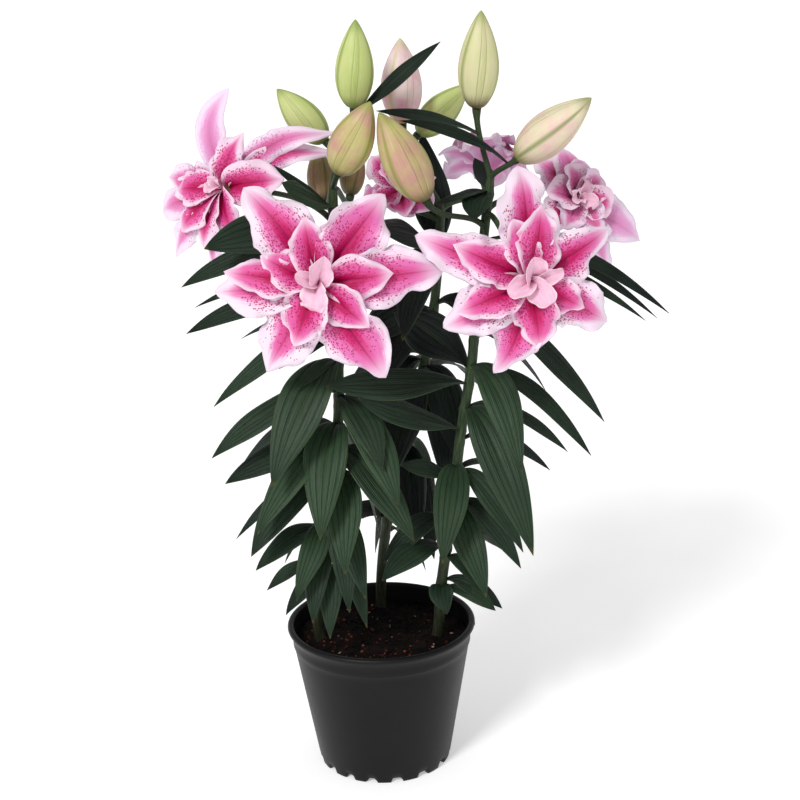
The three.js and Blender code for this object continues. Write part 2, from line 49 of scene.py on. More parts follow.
# The pot and the soil: lengths in millimetres and angles in radians
POT_HEIGHT = 150
RIM_RADIUS = 95
BEAD_RADIUS = 3.3
MOUTH_RADIUS = 88.4
BAND_HEIGHT = 22
BAND_STEP = 0.9
WALL_TOP_RADIUS = 89.1
WALL = 2
FOOT_RADIUS = 67
FLOOR_LEVEL = 5
POT_SIDES = 192
NOTCHES = 16
NOTCH_HEIGHT = 4.4
NOTCH_DEPTH = 0.8
NICK_ANGLE = -0.12
SOIL_RADIUS = 86.3
SOIL_LEVEL = 135
CRUMBS = 1200

# Stems, stalks, leaves and petals: lengths in millimetres, the rest as shares of a length or angles
STEM_FOOT = 88.4
STEM_FOOT_RADIUS = 5.6
STEM_TOP_RADIUS = 4.4
STEM_SIDES = 20
STALK_RADIUS = 3
STALK_LEAN = 0.25
STALK_RISE = 0.25
STALK_APPROACH = 0.35
LEAF_BASE_WIDTH = 6
LEAF_TWIST = 0.75
LEAF_THICKNESS = 0.7
LEAF_VEINS = 3
LEAF_INSET = 0.8
FULL_TWIST_RISE = 40
PETAL_THICKNESS = 0.9
EDGE_WAVES = 2.6
CLAW_WIDTH = 6
TIP_WIDTH = 0.5
BUD_NECK = 3.4
KNOB_RADIUS = 6.6
KNOB_LENGTH = 24

# The stage: places in metres. The camera was fitted to the pot's outline
FLOOR_HALF_SIZE = 40
FLOOR_GLOW = 0.36
AIR_STRENGTH = 0.5
SUN_PLACE = (-0.42, -0.72, 0.66)
SUN_STRENGTH = 1.8
SUN_WIDTH = math.radians(14)
CAMERA_PLACE = (0, -1.6, 0.893)
CAMERA_AIM = (0.0255, 0, 0.3824)
CAMERA_ROLL = -0.029
FILM_WIDTH = 36
FOCAL_PIXELS = 1723
PICTURE_PIXELS = 800

# Each stem's path from the bulb's nose to the flower head, and the height at which the stalk of each
# bud or flower leaves it
PLANTS = {
    "left": {
        "path": [
            (-45, -12, STEM_FOOT), (-46, -12, 97), (-62, -12, 136), (-55, -24, 211), (-47, -33, 275),
            (-34, -36, 386), (-32, -34, 455), (-32, -32, 531), (-31, -30, 602),
        ],
        "stalks": {
            "bud_1": 598, "bud_6": 598, "bud_8": 594, "bud_9": 592, "bud_10": 592,
            "flower_left": 566, "flower_front_left": 566,
        },
    },
    "middle": {
        "path": [
            (0, 46, STEM_FOOT), (0, 47, 97), (0, 62, 136), (3, 56, 188), (10, 54, 237), (25, 54, 301),
            (39, 56, 353), (54, 58, 410), (65, 58, 477), (72, 56, 565),
        ],
        "stalks": {"bud_2": 560, "bud_4": 560, "flower_back_left": 545, "flower_back": 556},
    },
    "right": {
        "path": [
            (45, -12, STEM_FOOT), (46, -12, 97), (56, -12, 136), (60, -23, 188), (73, -26, 276),
            (84, -22, 359), (95, -18, 422), (99, -15, 464), (107, -12, 532), (116, -10, 603),
        ],
        "stalks": {
            "bud_3": 600, "bud_5": 600, "bud_7": 553, "flower_right": 568, "flower_front_right": 562,
        },
    },
}

# Leaves, tier by tier: height on the stem, tip x, y and z, width and rise
LEAF_TIERS = {
    "left": [
        [(223, -50, -78, 167, 24, 14), (215, -92, -70, 190, 18, 12), (219, -112, -30, 199, 18, 14),
         (245, -66, -84, 187, 26, 14), (250, -14, -72, 174, 23, 16)],
        [(262, -96, 20, 206, 18, 14), (268, -80, -92, 214, 26, 16), (264, -118, -80, 242, 24, 16),
         (275, -30, -92, 200, 26, 14), (280, -14, -102, 218, 27, 16)],
        [(325, -32, -120, 252, 36, 18), (320, -120, -100, 265, 36, 18), (314, -139, -30, 255, 20, 16)],
        [(347, 33, -112, 279, 38, 18), (345, -144, -58, 323, 30, 18), (358, -112, -112, 292, 34, 16),
         (373, -54, -122, 288, 42, 14), (368, -130, 10, 321, 26, 16), (366, 2, 8, 232, 42, 14)],
        [(404, -153, -80, 357, 32, 18), (392, 20, -118, 318, 38, 10), (433, -96, -116, 340, 46, 16),
         (400, 6, -108, 350, 32, 6), (435, -70, -76, 420, 14, 8)],
        [(460, -150, -60, 401, 25, 12), (450, -89, -30, 427, 20, 10), (475, -127, 24, 443, 17, 12)],
        [(493, -172, -50, 470, 26, 20), (508, -168, 4, 481, 14, 20)],
        [(542, -174, -48, 514, 28, 22), (551, -148, -78, 556, 44, 24)],
        [(580, -76, -68, 612, 32, 8), (581, -84, -44, 624, 10, 14)],
    ],
    "middle": [
        [(219, 45, 122, 158, 18, 18), (236, 50, 128, 146, 18, 22), (238, -28, 66, 242, 24, 14)],
        [(290, -4, 96, 182, 36, 14), (322, 66, 112, 190, 26, 16), (330, -48, 90, 262, 30, 16),
         (316, 38, 2, 226, 34, 10), (326, 0, 34, 246, 34, 14), (300, 56, 22, 204, 30, 14)],
        [(392, 112, 142, 350, 28, 18), (400, 28, 150, 352, 32, 18), (410, -20, 96, 380, 30, 14),
         (385, 14, -2, 300, 42, 16), (398, 84, 4, 310, 38, 14), (388, 72, 8, 276, 32, 14),
         (404, -6, 44, 326, 34, 16)],
        [(455, -12, 30, 430, 42, 16), (462, 130, 60, 420, 32, 18), (458, 6, 16, 392, 38, 14)],
        [(523, 28, -78, 464, 36, 16), (518, 8, -34, 560, 44, 26), (500, 120, 140, 470, 34, 24),
         (525, 56, 84, 630, 38, 12)],
    ],
    "right": [
        [(196, 64, -60, 180, 24, 8), (201, 120, -40, 175, 20, 10), (193, 112, -62, 183, 19, 8)],
        [(228, 92, -70, 214, 17, 10), (239, 127, 30, 208, 16, 16), (237, 2, -72, 223, 30, 20),
         (255, 128, -5, 219, 17, 12), (265, 4, -34, 226, 26, 16)],
        [(280, 101, -90, 210, 32, 14), (284, 137, -60, 226, 25, 16), (322, 59, -113, 256, 33, 14),
         (316, 138, -75, 249, 24, 16), (316, 154, 40, 266, 17, 18), (312, 23, -60, 337, 22, 10)],
        [(347, 172, 0, 304, 17, 18), (358, -15, -80, 411, 32, 14), (379, 145, -103, 257, 40, 18),
         (379, 187, -20, 330, 18, 18)],
        [(414, 206, -50, 336, 20, 18), (403, -44, -85, 425, 36, 10), (421, 135, -104, 340, 36, 16),
         (417, 22, 2, 470, 44, 30)],
        [(460, 217, -60, 373, 30, 20), (446, 172, 40, 374, 17, 16)],
        [(541, 279, -46, 473, 16, 22), (532, 272, -20, 462, 14, 22), (524, 253, -68, 473, 14, 20)],
        [(587, 62, -48, 584, 13, 6), (584, 96, -58, 570, 26, 6), (588, 104, 36, 611, 18, 8)],
    ],
}

# Small leaves at the flower stalks: the start of each, then tip, width and rise
STALK_LEAVES = {
    "left_stalk_leaf": ((-9.5, 0, 655), (72, 0, 725, 15, 30)),
    "right_stalk_leaf_1": ((105, -7, 640), (11, -2, 664, 13, 18)),
    "right_stalk_leaf_2": ((130, -21, 615), (31, -34, 659, 11, 34)),
}

# Buds: foot, tip, largest diameter and the name of the colouring
BUDS = {
    "bud_1": ((-9, 0, 667), (-5, -5, 748), 35, "green"),
    "bud_2": ((36, 45, 645), (36, 45, 725), 38, "pink"),
    "bud_3": ((104, -5, 664), (109, -10, 753), 37, "cream"),
    "bud_4": ((52, 70, 630), (101, 75, 676), 32, "green"),
    "bud_5": ((139, -25, 619), (205, -45, 676), 39, "ribbed"),
    "bud_6": ((-25, -50, 616), (6, -75, 683), 38, "blushed"),
    "bud_7": ((53, -60, 591), (13, -80, 674), 40, "blushed"),
    "bud_8": ((-37, 20, 634), (-81, 30, 683), 32, "green"),
    "bud_9": ((-40, 22, 576), (-46, 40, 626), 26, "olive"),
    "bud_10": ((-16, 40, 578), (-8, 54, 626), 24, "olive"),
}

# Petal rings: where the petals of each ring leave the flower's axis, counted forwards from its middle
OUTER = {"seat": -22, "throat": -4, "shoulder": 8, "start": 4.5, "roll": 0.2}
INNER = {"seat": -13, "throat": 6, "shoulder": 15, "start": 3.4, "roll": 0.3}
HEART = {"seat": -7.5, "throat": 12, "shoulder": 20, "start": 2.2, "roll": 0.4}

# How a petal looks, unless its row says otherwise
PETAL_LOOK = {
    "ruffle": 0.78,     # how far the edges wave, as an angle
    "channel": 0.85,    # how steeply the sides rise from the midrib near the claw, as an angle
    "recurve": 0.45,    # how far the edges bend back further out, as an angle
    "sway": 0.0,        # how far the middle of the petal bends to its side, in millimetres
    "left_edge": 0.0,   # how far the left edge folds back, as an angle
    "right_edge": 0.0,
    "blunt": 0.5,       # 0 for a long pointed tip, 1 for a broad round one
    "deep": 1.0,        # strength of the magenta band
    "pale": 0.5,        # how far the pale edge reaches in
    "lilac": 0.0,       # how far it has the pale lilac of a petal's back
    "nod": 0.0,         # how far the tip bends back, in millimetres
}


def petal(angle, reach, lift, width, **look):
    """One petal: its angle in degrees seen from the front, reach from the axis, how far its tip
    stands in front of the flower's middle, its width, and what differs from PETAL_LOOK."""
    return {**PETAL_LOOK, "angle": angle, "reach": reach, "lift": lift, "width": width, **look}


FLOWERS = {
    "flower_front_left": {
        "middle": (-46, -115, 530), "faces": (-0.08, -1, 0.15),
        "outer": [
            petal(129, 108, -24, 54, ruffle=0.6, pale=0.75, sway=-6, nod=6, blunt=0.9, right_edge=0.5),
            petal(52, 97, -20, 58, blunt=0.8, left_edge=-0.6),
            petal(5, 112, -24, 54, pale=0.6, blunt=0.9, left_edge=0.5),
            petal(-57, 105, -20, 56, ruffle=0.6, blunt=0.9, right_edge=0.4),
            petal(-122, 97, -24, 56, ruffle=0.6, pale=0.95, deep=0.6, blunt=0.6),
            petal(185, 96, -20, 50, ruffle=0.5, pale=0.95, deep=0.7, blunt=1.0),
        ],
        "inner": [
            petal(100, 60, 4, 38, blunt=0.6), petal(153, 56, 4, 38, blunt=0.5),
            petal(172, 84, 2, 36, blunt=0.6), petal(7, 68, 4, 44, ruffle=0.4, blunt=0.5),
            petal(-41, 60, 4, 38, ruffle=0.4, blunt=0.5), petal(-112, 60, 4, 44, blunt=0.4),
        ],
        "heart": [
            petal(70, 28, 32, 28, channel=1.1, recurve=-1.0, ruffle=0.3, blunt=1.1),
            petal(150, 20, 22, 18, channel=1.0, recurve=-0.9, ruffle=0.1, blunt=1.5),
            petal(262, 26, 14, 26, channel=0.9, recurve=0.3, ruffle=0.6, nod=6, blunt=1.1),
        ],
    },
    "flower_front_right": {
        "middle": (143, -105, 524), "faces": (0.15, -1, 0.1),
        "outer": [
            petal(91, 100, -22, 56, pale=0.8, nod=5, blunt=1.0),
            petal(156, 108, -22, 46, pale=0.75, blunt=1.0, right_edge=0.6),
            petal(208, 87, -20, 50, pale=0.85, deep=0.8, blunt=1.0),
            petal(250, 92, -22, 50, pale=0.6, sway=5, blunt=0.5, right_edge=0.7),
            petal(329, 89, -20, 48, pale=0.8, deep=0.8, blunt=1.0),
            petal(27, 90, -20, 46, pale=0.65, blunt=0.3),
        ],
        "inner": [
            petal(81, 69, 6, 44, blunt=0.3), petal(105, 58, 4, 34, blunt=1.0),
            petal(152, 79, 4, 42, blunt=0.4), petal(199, 73, 4, 40, blunt=0.6),
            petal(275, 62, 4, 44, blunt=0.4), petal(330, 56, 4, 36, blunt=0.4),
        ],
        "heart": [
            petal(95, 24, 26, 28, channel=0.9, recurve=-0.9, ruffle=0.1, blunt=1.5),
            petal(195, 26, 18, 24, channel=1.0, recurve=-0.9, ruffle=0.15, blunt=1.5),
            petal(305, 24, 20, 28, channel=1.0, recurve=-0.8, ruffle=0.15, blunt=1.5),
            petal(20, 28, 18, 18, channel=0.9, recurve=-0.8, ruffle=0.3, blunt=1.4),
        ],
    },
    "flower_left": {
        "middle": (-136, 8, 596), "faces": (-0.55, -0.8, 0.25),
        "outer": [
            petal(87, 91, 10, 32, pale=0.8, sway=20, channel=0.5, lilac=0.85, ruffle=0.1, blunt=0.9),
            petal(31, 118, -20, 28, lilac=0.4, channel=1.5, sway=10, nod=14, blunt=0.7, pale=0.8),
            petal(23, 108, -30, 26, channel=1.5, sway=8, nod=12, blunt=0.6, pale=0.8),
            petal(176, 74, -10, 38, pale=0.8, blunt=0.8, lilac=0.2),
            petal(198, 90, -20, 42, pale=0.8, blunt=0.9, ruffle=0.7, lilac=0.4),
            petal(227, 98, -24, 34, pale=0.9, blunt=0.7, ruffle=0.7, lilac=0.5),
            petal(261, 87, -24, 30, pale=0.9, blunt=0.5, lilac=0.5, deep=0.5),
        ],
        "inner": [
            petal(68, 56, 2, 34, pale=0.95, deep=0.5, blunt=0.4),
            petal(9, 80, 10, 44, pale=0.8, blunt=0.8), petal(188, 50, 4, 36, ruffle=0.4, blunt=0.8),
            petal(228, 62, 2, 38, ruffle=0.4, blunt=0.7),
            petal(258, 60, 2, 38, ruffle=0.4, pale=0.8, blunt=0.7),
            petal(300, 50, 4, 36, ruffle=0.4, blunt=0.7),
        ],
        "heart": [petal(90, 10, 16, 12, channel=1.2), petal(210, 10, 16, 12, channel=1.2)],
    },
    "flower_back_left": {
        "middle": (32, 26, 585), "faces": (-0.2, -0.7, 0.7),
        "outer": [
            petal(30, 36, -6, 34), petal(134, 50, 2, 36, pale=0.7), petal(200, 40, 0, 32, lilac=0.4),
            petal(328, 42, 0, 40, pale=0.4),
        ],
        "inner": [
            petal(60, 32, 10, 28), petal(110, 36, 10, 30), petal(240, 40, 10, 30), petal(290, 40, 10, 30),
        ],
    },
    "flower_back": {
        "middle": (122, 106, 596), "faces": (0.1, 0.55, 0.83),
        "outer": [
            petal(30, 54, -6, 40, pale=0.9, lilac=0.6), petal(90, 70, -10, 42, pale=0.8),
            petal(150, 56, -10, 40, pale=0.8, lilac=0.4), petal(210, 48, -4, 38),
            petal(270, 56, -6, 40, lilac=0.3), petal(330, 56, -8, 40, pale=0.9, lilac=0.6),
        ],
        "inner": [
            petal(60, 48, 8, 34), petal(120, 48, 8, 34), petal(180, 44, 8, 34), petal(240, 46, 10, 32),
            petal(300, 46, 10, 32), petal(0, 44, 8, 34),
        ],
        "heart": [petal(turn, 11, 18, 10, channel=1.2) for turn in (45, 165, 285)],
    },
    "flower_right": {
        "middle": (198, 20, 570), "faces": (0.45, -0.8, 0.4),
        "outer": [
            petal(117, 54, -14, 44, pale=0.7, lilac=0.3, blunt=1.0),
            petal(82, 54, -10, 44, pale=0.4, lilac=0.3, blunt=1.0, ruffle=0.2),
            petal(52, 48, -10, 40, pale=0.4, lilac=0.4, blunt=1.0, ruffle=0.2),
            petal(328, 88, -14, 44, pale=0.7, lilac=0.9, blunt=0.4, ruffle=0.3),
            petal(290, 78, -14, 34, pale=0.9, lilac=0.8, blunt=0.8), petal(208, 40, -10, 40, pale=0.9),
        ],
        "inner": [
            petal(100, 34, 12, 36, pale=0.9, deep=0.3, lilac=0.3, recurve=-0.4, ruffle=0.3, blunt=1.2),
            petal(32, 34, 10, 36, pale=0.8, deep=0.4, lilac=0.3, recurve=-0.4, ruffle=0.3, blunt=1.2),
            petal(338, 36, 10, 36, pale=0.8, deep=0.5, recurve=-0.3, ruffle=0.3, blunt=1.2),
            petal(288, 42, 10, 32, pale=0.9, lilac=0.4),
            petal(225, 38, 10, 32, pale=0.95, deep=0.3, lilac=0.3),
            petal(164, 38, 10, 36, pale=0.95, deep=0.2, lilac=0.3, recurve=-0.3, ruffle=0.3, blunt=1.2),
        ],
        "heart": [petal(turn, 16, 18, 18, channel=1.0, recurve=-0.8, blunt=1.4) for turn in (70, 190, 310)],
    },
}


# Vectors and curves


def vector(*parts):
    return np.array(parts, dtype=float)


def unit(v):
    """v at length one, along its last axis."""
    return v / np.linalg.norm(v, axis=-1, keepdims=True)


def level_way(start, end):
    """The level direction from start to end."""
    return unit((end - start) * vector(1, 1, 0))


def circle(sides):
    """Angles once round."""
    return np.linspace(0, 2 * math.pi, sides, endpoint=False)


def triples(x, y, z):
    """Three numbers for every point of a grid."""
    return np.stack(np.broadcast_arrays(x, y, z), axis=-1)


def smooth_step(low, high, value):
    """0 below low, 1 above high, and 3x^2 - 2x^3 between."""
    x = np.clip((value - low) / (high - low), 0, 1)
    return x * x * (3 - 2 * x)


def bell(value, width):
    """A bump of height one round zero: exp(-(value / width)^2)."""
    return np.exp(-((value / width) ** 2))


def bezier(controls, along):
    """Points of the cubic curve with four control points, at each along of 0 to 1."""
    t = along[:, None]
    shares = (1 - t) ** 3, 3 * (1 - t) ** 2 * t, 3 * (1 - t) * t**2, t**3
    return sum(share * point for share, point in zip(shares, controls))


def run_length(points):
    """The distance along a path at each of its points."""
    return np.concatenate([[0], np.cumsum(np.linalg.norm(np.diff(points, axis=0), axis=1))])


def stem_spots(plant, heights):
    """The middle of a stem at each height: cubic Hermite spans through the path's points, whose
    tangent at a point is the slope between its two neighbours."""
    path = np.array(PLANTS[plant]["path"], float)
    z = path[:, 2]
    slope = np.gradient(path[:, :2], z, axis=0)
    heights = np.atleast_1d(np.asarray(heights, float))
    span = np.clip(np.searchsorted(z, heights) - 1, 0, len(z) - 2)
    length = (z[span + 1] - z[span])[:, None]
    x = ((heights - z[span]) / length[:, 0])[:, None]
    start, end = path[span, :2], path[span + 1, :2]
    flat = (
        (2 * x**3 - 3 * x**2 + 1) * start
        + (x**3 - 2 * x**2 + x) * length * slope[span]
        + (3 * x**2 - 2 * x**3) * end
        + (x**3 - x**2) * length * slope[span + 1]
    )
    return np.column_stack([flat, heights])


def stem_radius(plant, height):
    """A stem tapers evenly from its foot to its top."""
    path = PLANTS[plant]["path"]
    share = (height - path[0][2]) / (path[-1][2] - path[0][2])
    return STEM_FOOT_RADIUS + (STEM_TOP_RADIUS - STEM_FOOT_RADIUS) * share


def lattice_noise(x, y, cell, seed):
    """Smooth noise of 0 to 1: each corner of a square lattice has its own height, the broken part of
    a large sine, and a point between four corners takes a smoothly weighted mean of theirs."""
    u, v = x / cell, y / cell
    column, row = np.floor(u), np.floor(v)
    across, over = smooth_step(0, 1, u - column), smooth_step(0, 1, v - row)

    def corner(i, j):
        return np.modf(np.abs(np.sin(i * 127.1 + j * 311.7 + seed * 74.7) * 43758.5453))[0]

    low = corner(column, row) * (1 - across) + corner(column + 1, row) * across
    high = corner(column, row + 1) * (1 - across) + corner(column + 1, row + 1) * across
    return low * (1 - over) + high * over


# Meshes


class Skin:
    """Gathers grids of points into one mesh of closed shells.

    Every point also gets three marks for its material: a place, (share along, share across, seed), a
    tone, three numbers, and a spot, its distance across and along the blade in millimetres."""

    def __init__(self):
        self.points, self.faces, self.count = [], [], 0
        self.marks = {"place": [], "tone": [], "spot": []}

    def add_points(self, points, *marks):
        """Adds points in millimetres and returns their numbers in the shape of their grid."""
        shape = points.shape[:-1]
        numbers = self.count + np.arange(np.prod(shape)).reshape(shape)
        self.count += numbers.size
        self.points.append(points.reshape(-1, 3) * MM)
        for store, value in zip(self.marks.values(), marks):
            store.append(np.broadcast_to(value, (*shape, 3)).reshape(-1, 3))
        return numbers

    def quads(self, a, b, c, d):
        self.faces.extend(np.stack([a, b, c, d], axis=-1).reshape(-1, 4).tolist())

    def sheet(self, top, bottom, place, tone, spot):
        """A thin closed blade between two grids. tone is for the top, and the bottom has a third
        number of one."""
        below_tone = np.array(np.broadcast_to(tone, top.shape))
        below_tone[..., 2] = 1
        t = self.add_points(top, place, tone, spot)
        b = self.add_points(bottom, place, below_tone, spot)
        self.quads(t[:-1, :-1], t[1:, :-1], t[1:, 1:], t[:-1, 1:])
        self.quads(b[:-1, :-1], b[:-1, 1:], b[1:, 1:], b[1:, :-1])
        self.quads(t[:-1, -1], t[1:, -1], b[1:, -1], b[:-1, -1])
        self.quads(t[1:, 0], t[:-1, 0], b[:-1, 0], b[1:, 0])
        self.quads(t[-1, :-1], b[-1, :-1], b[-1, 1:], t[-1, 1:])
        self.quads(t[0, :-1], t[0, 1:], b[0, 1:], b[0, :-1])

    def tube(self, rings, place):
        """A closed body through rings that run counter-clockwise about the way along. Each end is
        closed to the middle of its ring."""
        n = self.add_points(rings, place, 0, 0)
        after = np.roll(n, -1, axis=1)
        self.quads(n[:-1], after[:-1], after[1:], n[1:])
        whole = np.broadcast_to(place, rings.shape)
        for end, ring, follow in ((0, after[0], n[0]), (-1, n[-1], after[-1])):
            pole = self.add_points(rings[end].mean(axis=0)[None], whole[end, :1], 0, 0)
            self.faces.extend([int(pole[0]), int(i), int(j)] for i, j in zip(ring, follow))

    def build(self, name, finish, slot, *nodes):
        """The finished piece: smooth faces, its own attributes, its material and the CAD nodes that it
        stands for. slot is not used."""
        mesh = bpy.data.meshes.new(name)
        mesh.from_pydata(np.concatenate(self.points).tolist(), [], self.faces)
        mesh.polygons.foreach_set("use_smooth", np.ones(len(mesh.polygons), dtype=bool))
        for label, store in self.marks.items():
            values = mesh.attributes.new(label, "FLOAT_VECTOR", "POINT")
            values.data.foreach_set("vector", np.concatenate(store).ravel().astype(np.float32))
        mesh.materials.append(finish)
        mesh.update()
        piece = bpy.data.objects.new(name, mesh)
        bpy.context.scene.collection.objects.link(piece)
        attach(piece, "root")
        if nodes:
            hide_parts(*nodes)


def rings_along(points, radii, sides):
    """Round rings across a path: each is centre + radius (cos a * across + sin a * over), where over
    is the way along crossed with across. radii is one number for each ring, or for each point."""
    tangent = unit(np.gradient(points, axis=0))
    reference = vector(0, 1, 0) if abs(tangent[0, 1]) < 0.8 else vector(1, 0, 0)
    across = unit(np.cross(reference, tangent))
    over = np.cross(tangent, across)
    turn = circle(sides)[:, None]
    out = across[:, None] * np.cos(turn) + over[:, None] * np.sin(turn)
    return points[:, None] + out * radii.reshape(len(points), -1, 1)


def blade_shares(rows, columns):
    """Shares of 0 to 1 along a blade, as a list and as a column, and of -1 to 1 across it."""
    along = np.linspace(0, 1, rows)
    return along, along[:, None], np.linspace(-1, 1, columns)[None]


def blade_surface(middle, side, roll, half_width, slopes, thickness):
    """Top and bottom grids of a leaf or petal along a midrib.

    The way across is side, made square to the midrib and turned about it by roll. Every cross-section
    starts at the midrib and runs to both edges in equal steps. At each step it rises at the angle that
    slopes gives, so the way across is the running sum of the cosines and the height that of the sines.
    half_width is one number for each row, or one for each edge of each row. The two grids lie half the
    thickness above and below that surface."""
    tangent = unit(np.gradient(middle, axis=0))
    square = unit(side - tangent * np.sum(side * tangent, axis=-1, keepdims=True))
    across = square * np.cos(roll)[:, None] + np.cross(tangent, square) * np.sin(roll)[:, None]
    normal = np.cross(tangent, across)
    half = slopes.shape[1] // 2
    steps = np.broadcast_to(half_width.reshape(len(middle), -1) / half, (len(middle), 2))
    none = np.zeros((len(middle), 1))
    left, right = slopes[:, :half][:, ::-1], slopes[:, half + 1:]

    def run(share):
        return (np.cumsum(share(part) * steps[:, i:i + 1], axis=1) for i, part in enumerate((left, right)))

    to_left, to_right = run(np.cos)
    left_height, right_height = run(np.sin)
    sideways = np.hstack([-to_left[:, ::-1], none, to_right])
    height = np.hstack([left_height[:, ::-1], none, right_height])
    surface = middle[:, None] + sideways[..., None] * across[:, None] + height[..., None] * normal[:, None]
    facing = unit(np.cross(np.gradient(surface, axis=0), np.gradient(surface, axis=1)))
    offset = facing * (thickness / 2)[..., None]
    return surface + offset, surface - offset


# Leaves


def leaf_grid(skin, start, tip, width, rise, seed, tone):
    """One leaf. Its midrib is a cubic curve that leaves the stem along heading, rises and bends down
    to the tip. Across it, the blade is channelled, has shallow furrows along the veins, and waves
    a little at its edges. It turns about its midrib by LEAF_TWIST, so that its face shows, and
    by up to twice as much if its tip is higher than its base."""
    random = np.random.default_rng(seed)
    heading = level_way(start, tip)
    reach = np.linalg.norm((tip - start)[:2])
    drop = tip[2] - start[2]

    def at(out, height):
        spot = start + heading * out * reach
        return vector(spot[0], spot[1], start[2] + height)

    along, t, s = blade_shares(34, 29)
    controls = (start, at(0.33, 0.75 * rise + 0.08 * drop), at(0.72, 0.5 * rise + 0.55 * drop), tip)
    side = np.cross(UP, heading)
    sway = random.uniform(-4, 4) * np.sin(math.pi * along) ** 2
    middle = bezier(controls, along) + sway[:, None] * side
    twist = LEAF_TWIST * heading[0] * (1 + np.clip(drop / FULL_TWIST_RISE, 0, 1))
    roll = twist * np.sin(0.5 * math.pi * along) + random.uniform(-0.3, 0.3) * along
    full = LEAF_BASE_WIDTH * (1 - along) + (1.06 * width - 0.5 * LEAF_BASE_WIDTH) * (
        np.sin(math.pi * along**0.9) ** 0.9
    )
    half_width = np.maximum(full, TIP_WIDTH) / 2

    a = np.abs(s)
    phase = random.uniform(0, 2 * math.pi, 2)
    wave = np.where(s > 0, np.sin(7 * t + phase[0]), np.sin(8 * t + phase[1]))
    slopes = (
        0.55 * (1 - t) ** 2
        + 0.5 * bell(a, 0.12)
        + 0.1
        - 0.5 * a**2
        + 0.24 * np.sin(2 * math.pi * LEAF_VEINS * a) * smooth_step(0.08, 0.2, a) * smooth_step(0, 0.2, t)
        + 0.32 * wave * a**2 * np.sin(math.pi * t)
    )
    thickness = LEAF_THICKNESS * (1 - 0.6 * a**3) * (1.5 - 0.9 * smooth_step(0, 0.4, t))
    top, bottom = blade_surface(middle, side, roll, half_width, slopes, thickness)
    skin.sheet(top, bottom, triples(t, s, random.uniform()), tone, 0)


def leaf_painted_shade_and_dry_tip(middle_y, seed):
    """How light a leaf is, as painted shade: leaves further back are painted darker and those to the front
    lighter, with a random share of tone; and how dry its tip is.
    """
    random = np.random.default_rng(seed + 5000)
    # light is painted shade: high for leaves to the front, low for leaves further back, plus a random share
    # of tone
    light = np.clip((20 - middle_y) / 130, 0, 1) + random.uniform(-0.15, 0.15)
    return (light, random.uniform(0.2, 1.0), 0)


def leaf_tier(plant, leaves, first_seed):
    """All leaves of one tier, each with its base laid against the stem."""
    skin = Skin()
    for index, (height, x, y, z, width, rise) in enumerate(leaves):
        spot = stem_spots(plant, height)[0]
        tip = vector(x, y, z)
        start = spot + level_way(spot, tip) * (stem_radius(plant, height) - LEAF_INSET)
        seed = first_seed + index
        leaf_grid(skin, start, tip, width, rise, seed, leaf_painted_shade_and_dry_tip((spot[1] + y) / 2, seed))
    return skin


# Buds, stems and stalks


def bud_body(foot, tip, diameter, seed, rows=48, sides=72):
    """A closed bud. Its radius swells as a power of a sine along its length. Seen from the tip it has
    three broad outer petals, each with a raised keel, and between them the three ribs of the inner
    petals with a sunk seam on both sides. The ribs wind slowly round it."""
    random = np.random.default_rng(seed)
    foot, tip = vector(*foot), vector(*tip)
    along = 1 - (1 - np.linspace(0, 1, rows)) ** 1.25
    along[-1] = 0.9985
    axis = unit(tip - foot)
    bow = np.cross(axis, unit(np.cross(axis, vector(0.3, 1, 0.2))))
    points = foot + along[:, None] * (tip - foot) + 1.2 * np.sin(math.pi * along)[:, None] * bow
    swell = np.sin(math.pi * along**0.82) ** 0.78
    radius = BUD_NECK * (1 - along) ** 3 + (diameter / 2 - 0.3) * swell

    turn = circle(sides)[None]
    t = along[:, None]
    angle = turn - 0.35 * t - random.uniform(0, 2)
    third = 2 * math.pi / 3
    off_keel = np.mod(angle + third / 2, third) - third / 2
    from_keel = np.abs(off_keel)
    to_rib = third / 2 - from_keel
    strength = np.sin(math.pi * np.clip(t, 0, 1)) ** 0.5
    shape = 1 + strength * (
        0.020 * np.cos(3 * angle)
        + 0.022 * bell(off_keel, 0.075)
        - 0.016 * bell(from_keel - 0.17, 0.07)
        + 0.016 * bell(to_rib, 0.07)
        - 0.030 * bell(to_rib - 0.17, 0.035)
    )
    skin = Skin()
    place = triples(t, off_keel / (third / 2), random.uniform())
    skin.tube(rings_along(points, radius[:, None] * shape, sides), place)
    return skin


def flower_line(flower):
    """The middle of a flower and the way it faces."""
    return vector(*flower["middle"]), unit(vector(*flower["faces"]))


def stalk_end(name):
    """Where a stalk ends, and which way it comes in: the foot of its bud, or of its flower."""
    if name in BUDS:
        foot, tip = (vector(*p) for p in BUDS[name][:2])
        return foot, unit(tip - foot)
    middle, axis = flower_line(FLOWERS[name])
    return middle + axis * (OUTER["seat"] - 3.5), axis


def stalk_path(plant, name, height, along):
    """A stalk leaves the stem upwards and comes straight into the foot of what it carries."""
    start = stem_spots(plant, height)[0]
    end, axis = stalk_end(name)
    span = np.linalg.norm(end - start)
    sideways = (end - start) * vector(1, 1, 0) * STALK_LEAN
    controls = (start, start + sideways + UP * STALK_RISE * span, end - axis * STALK_APPROACH * span, end)
    return bezier(controls, along)


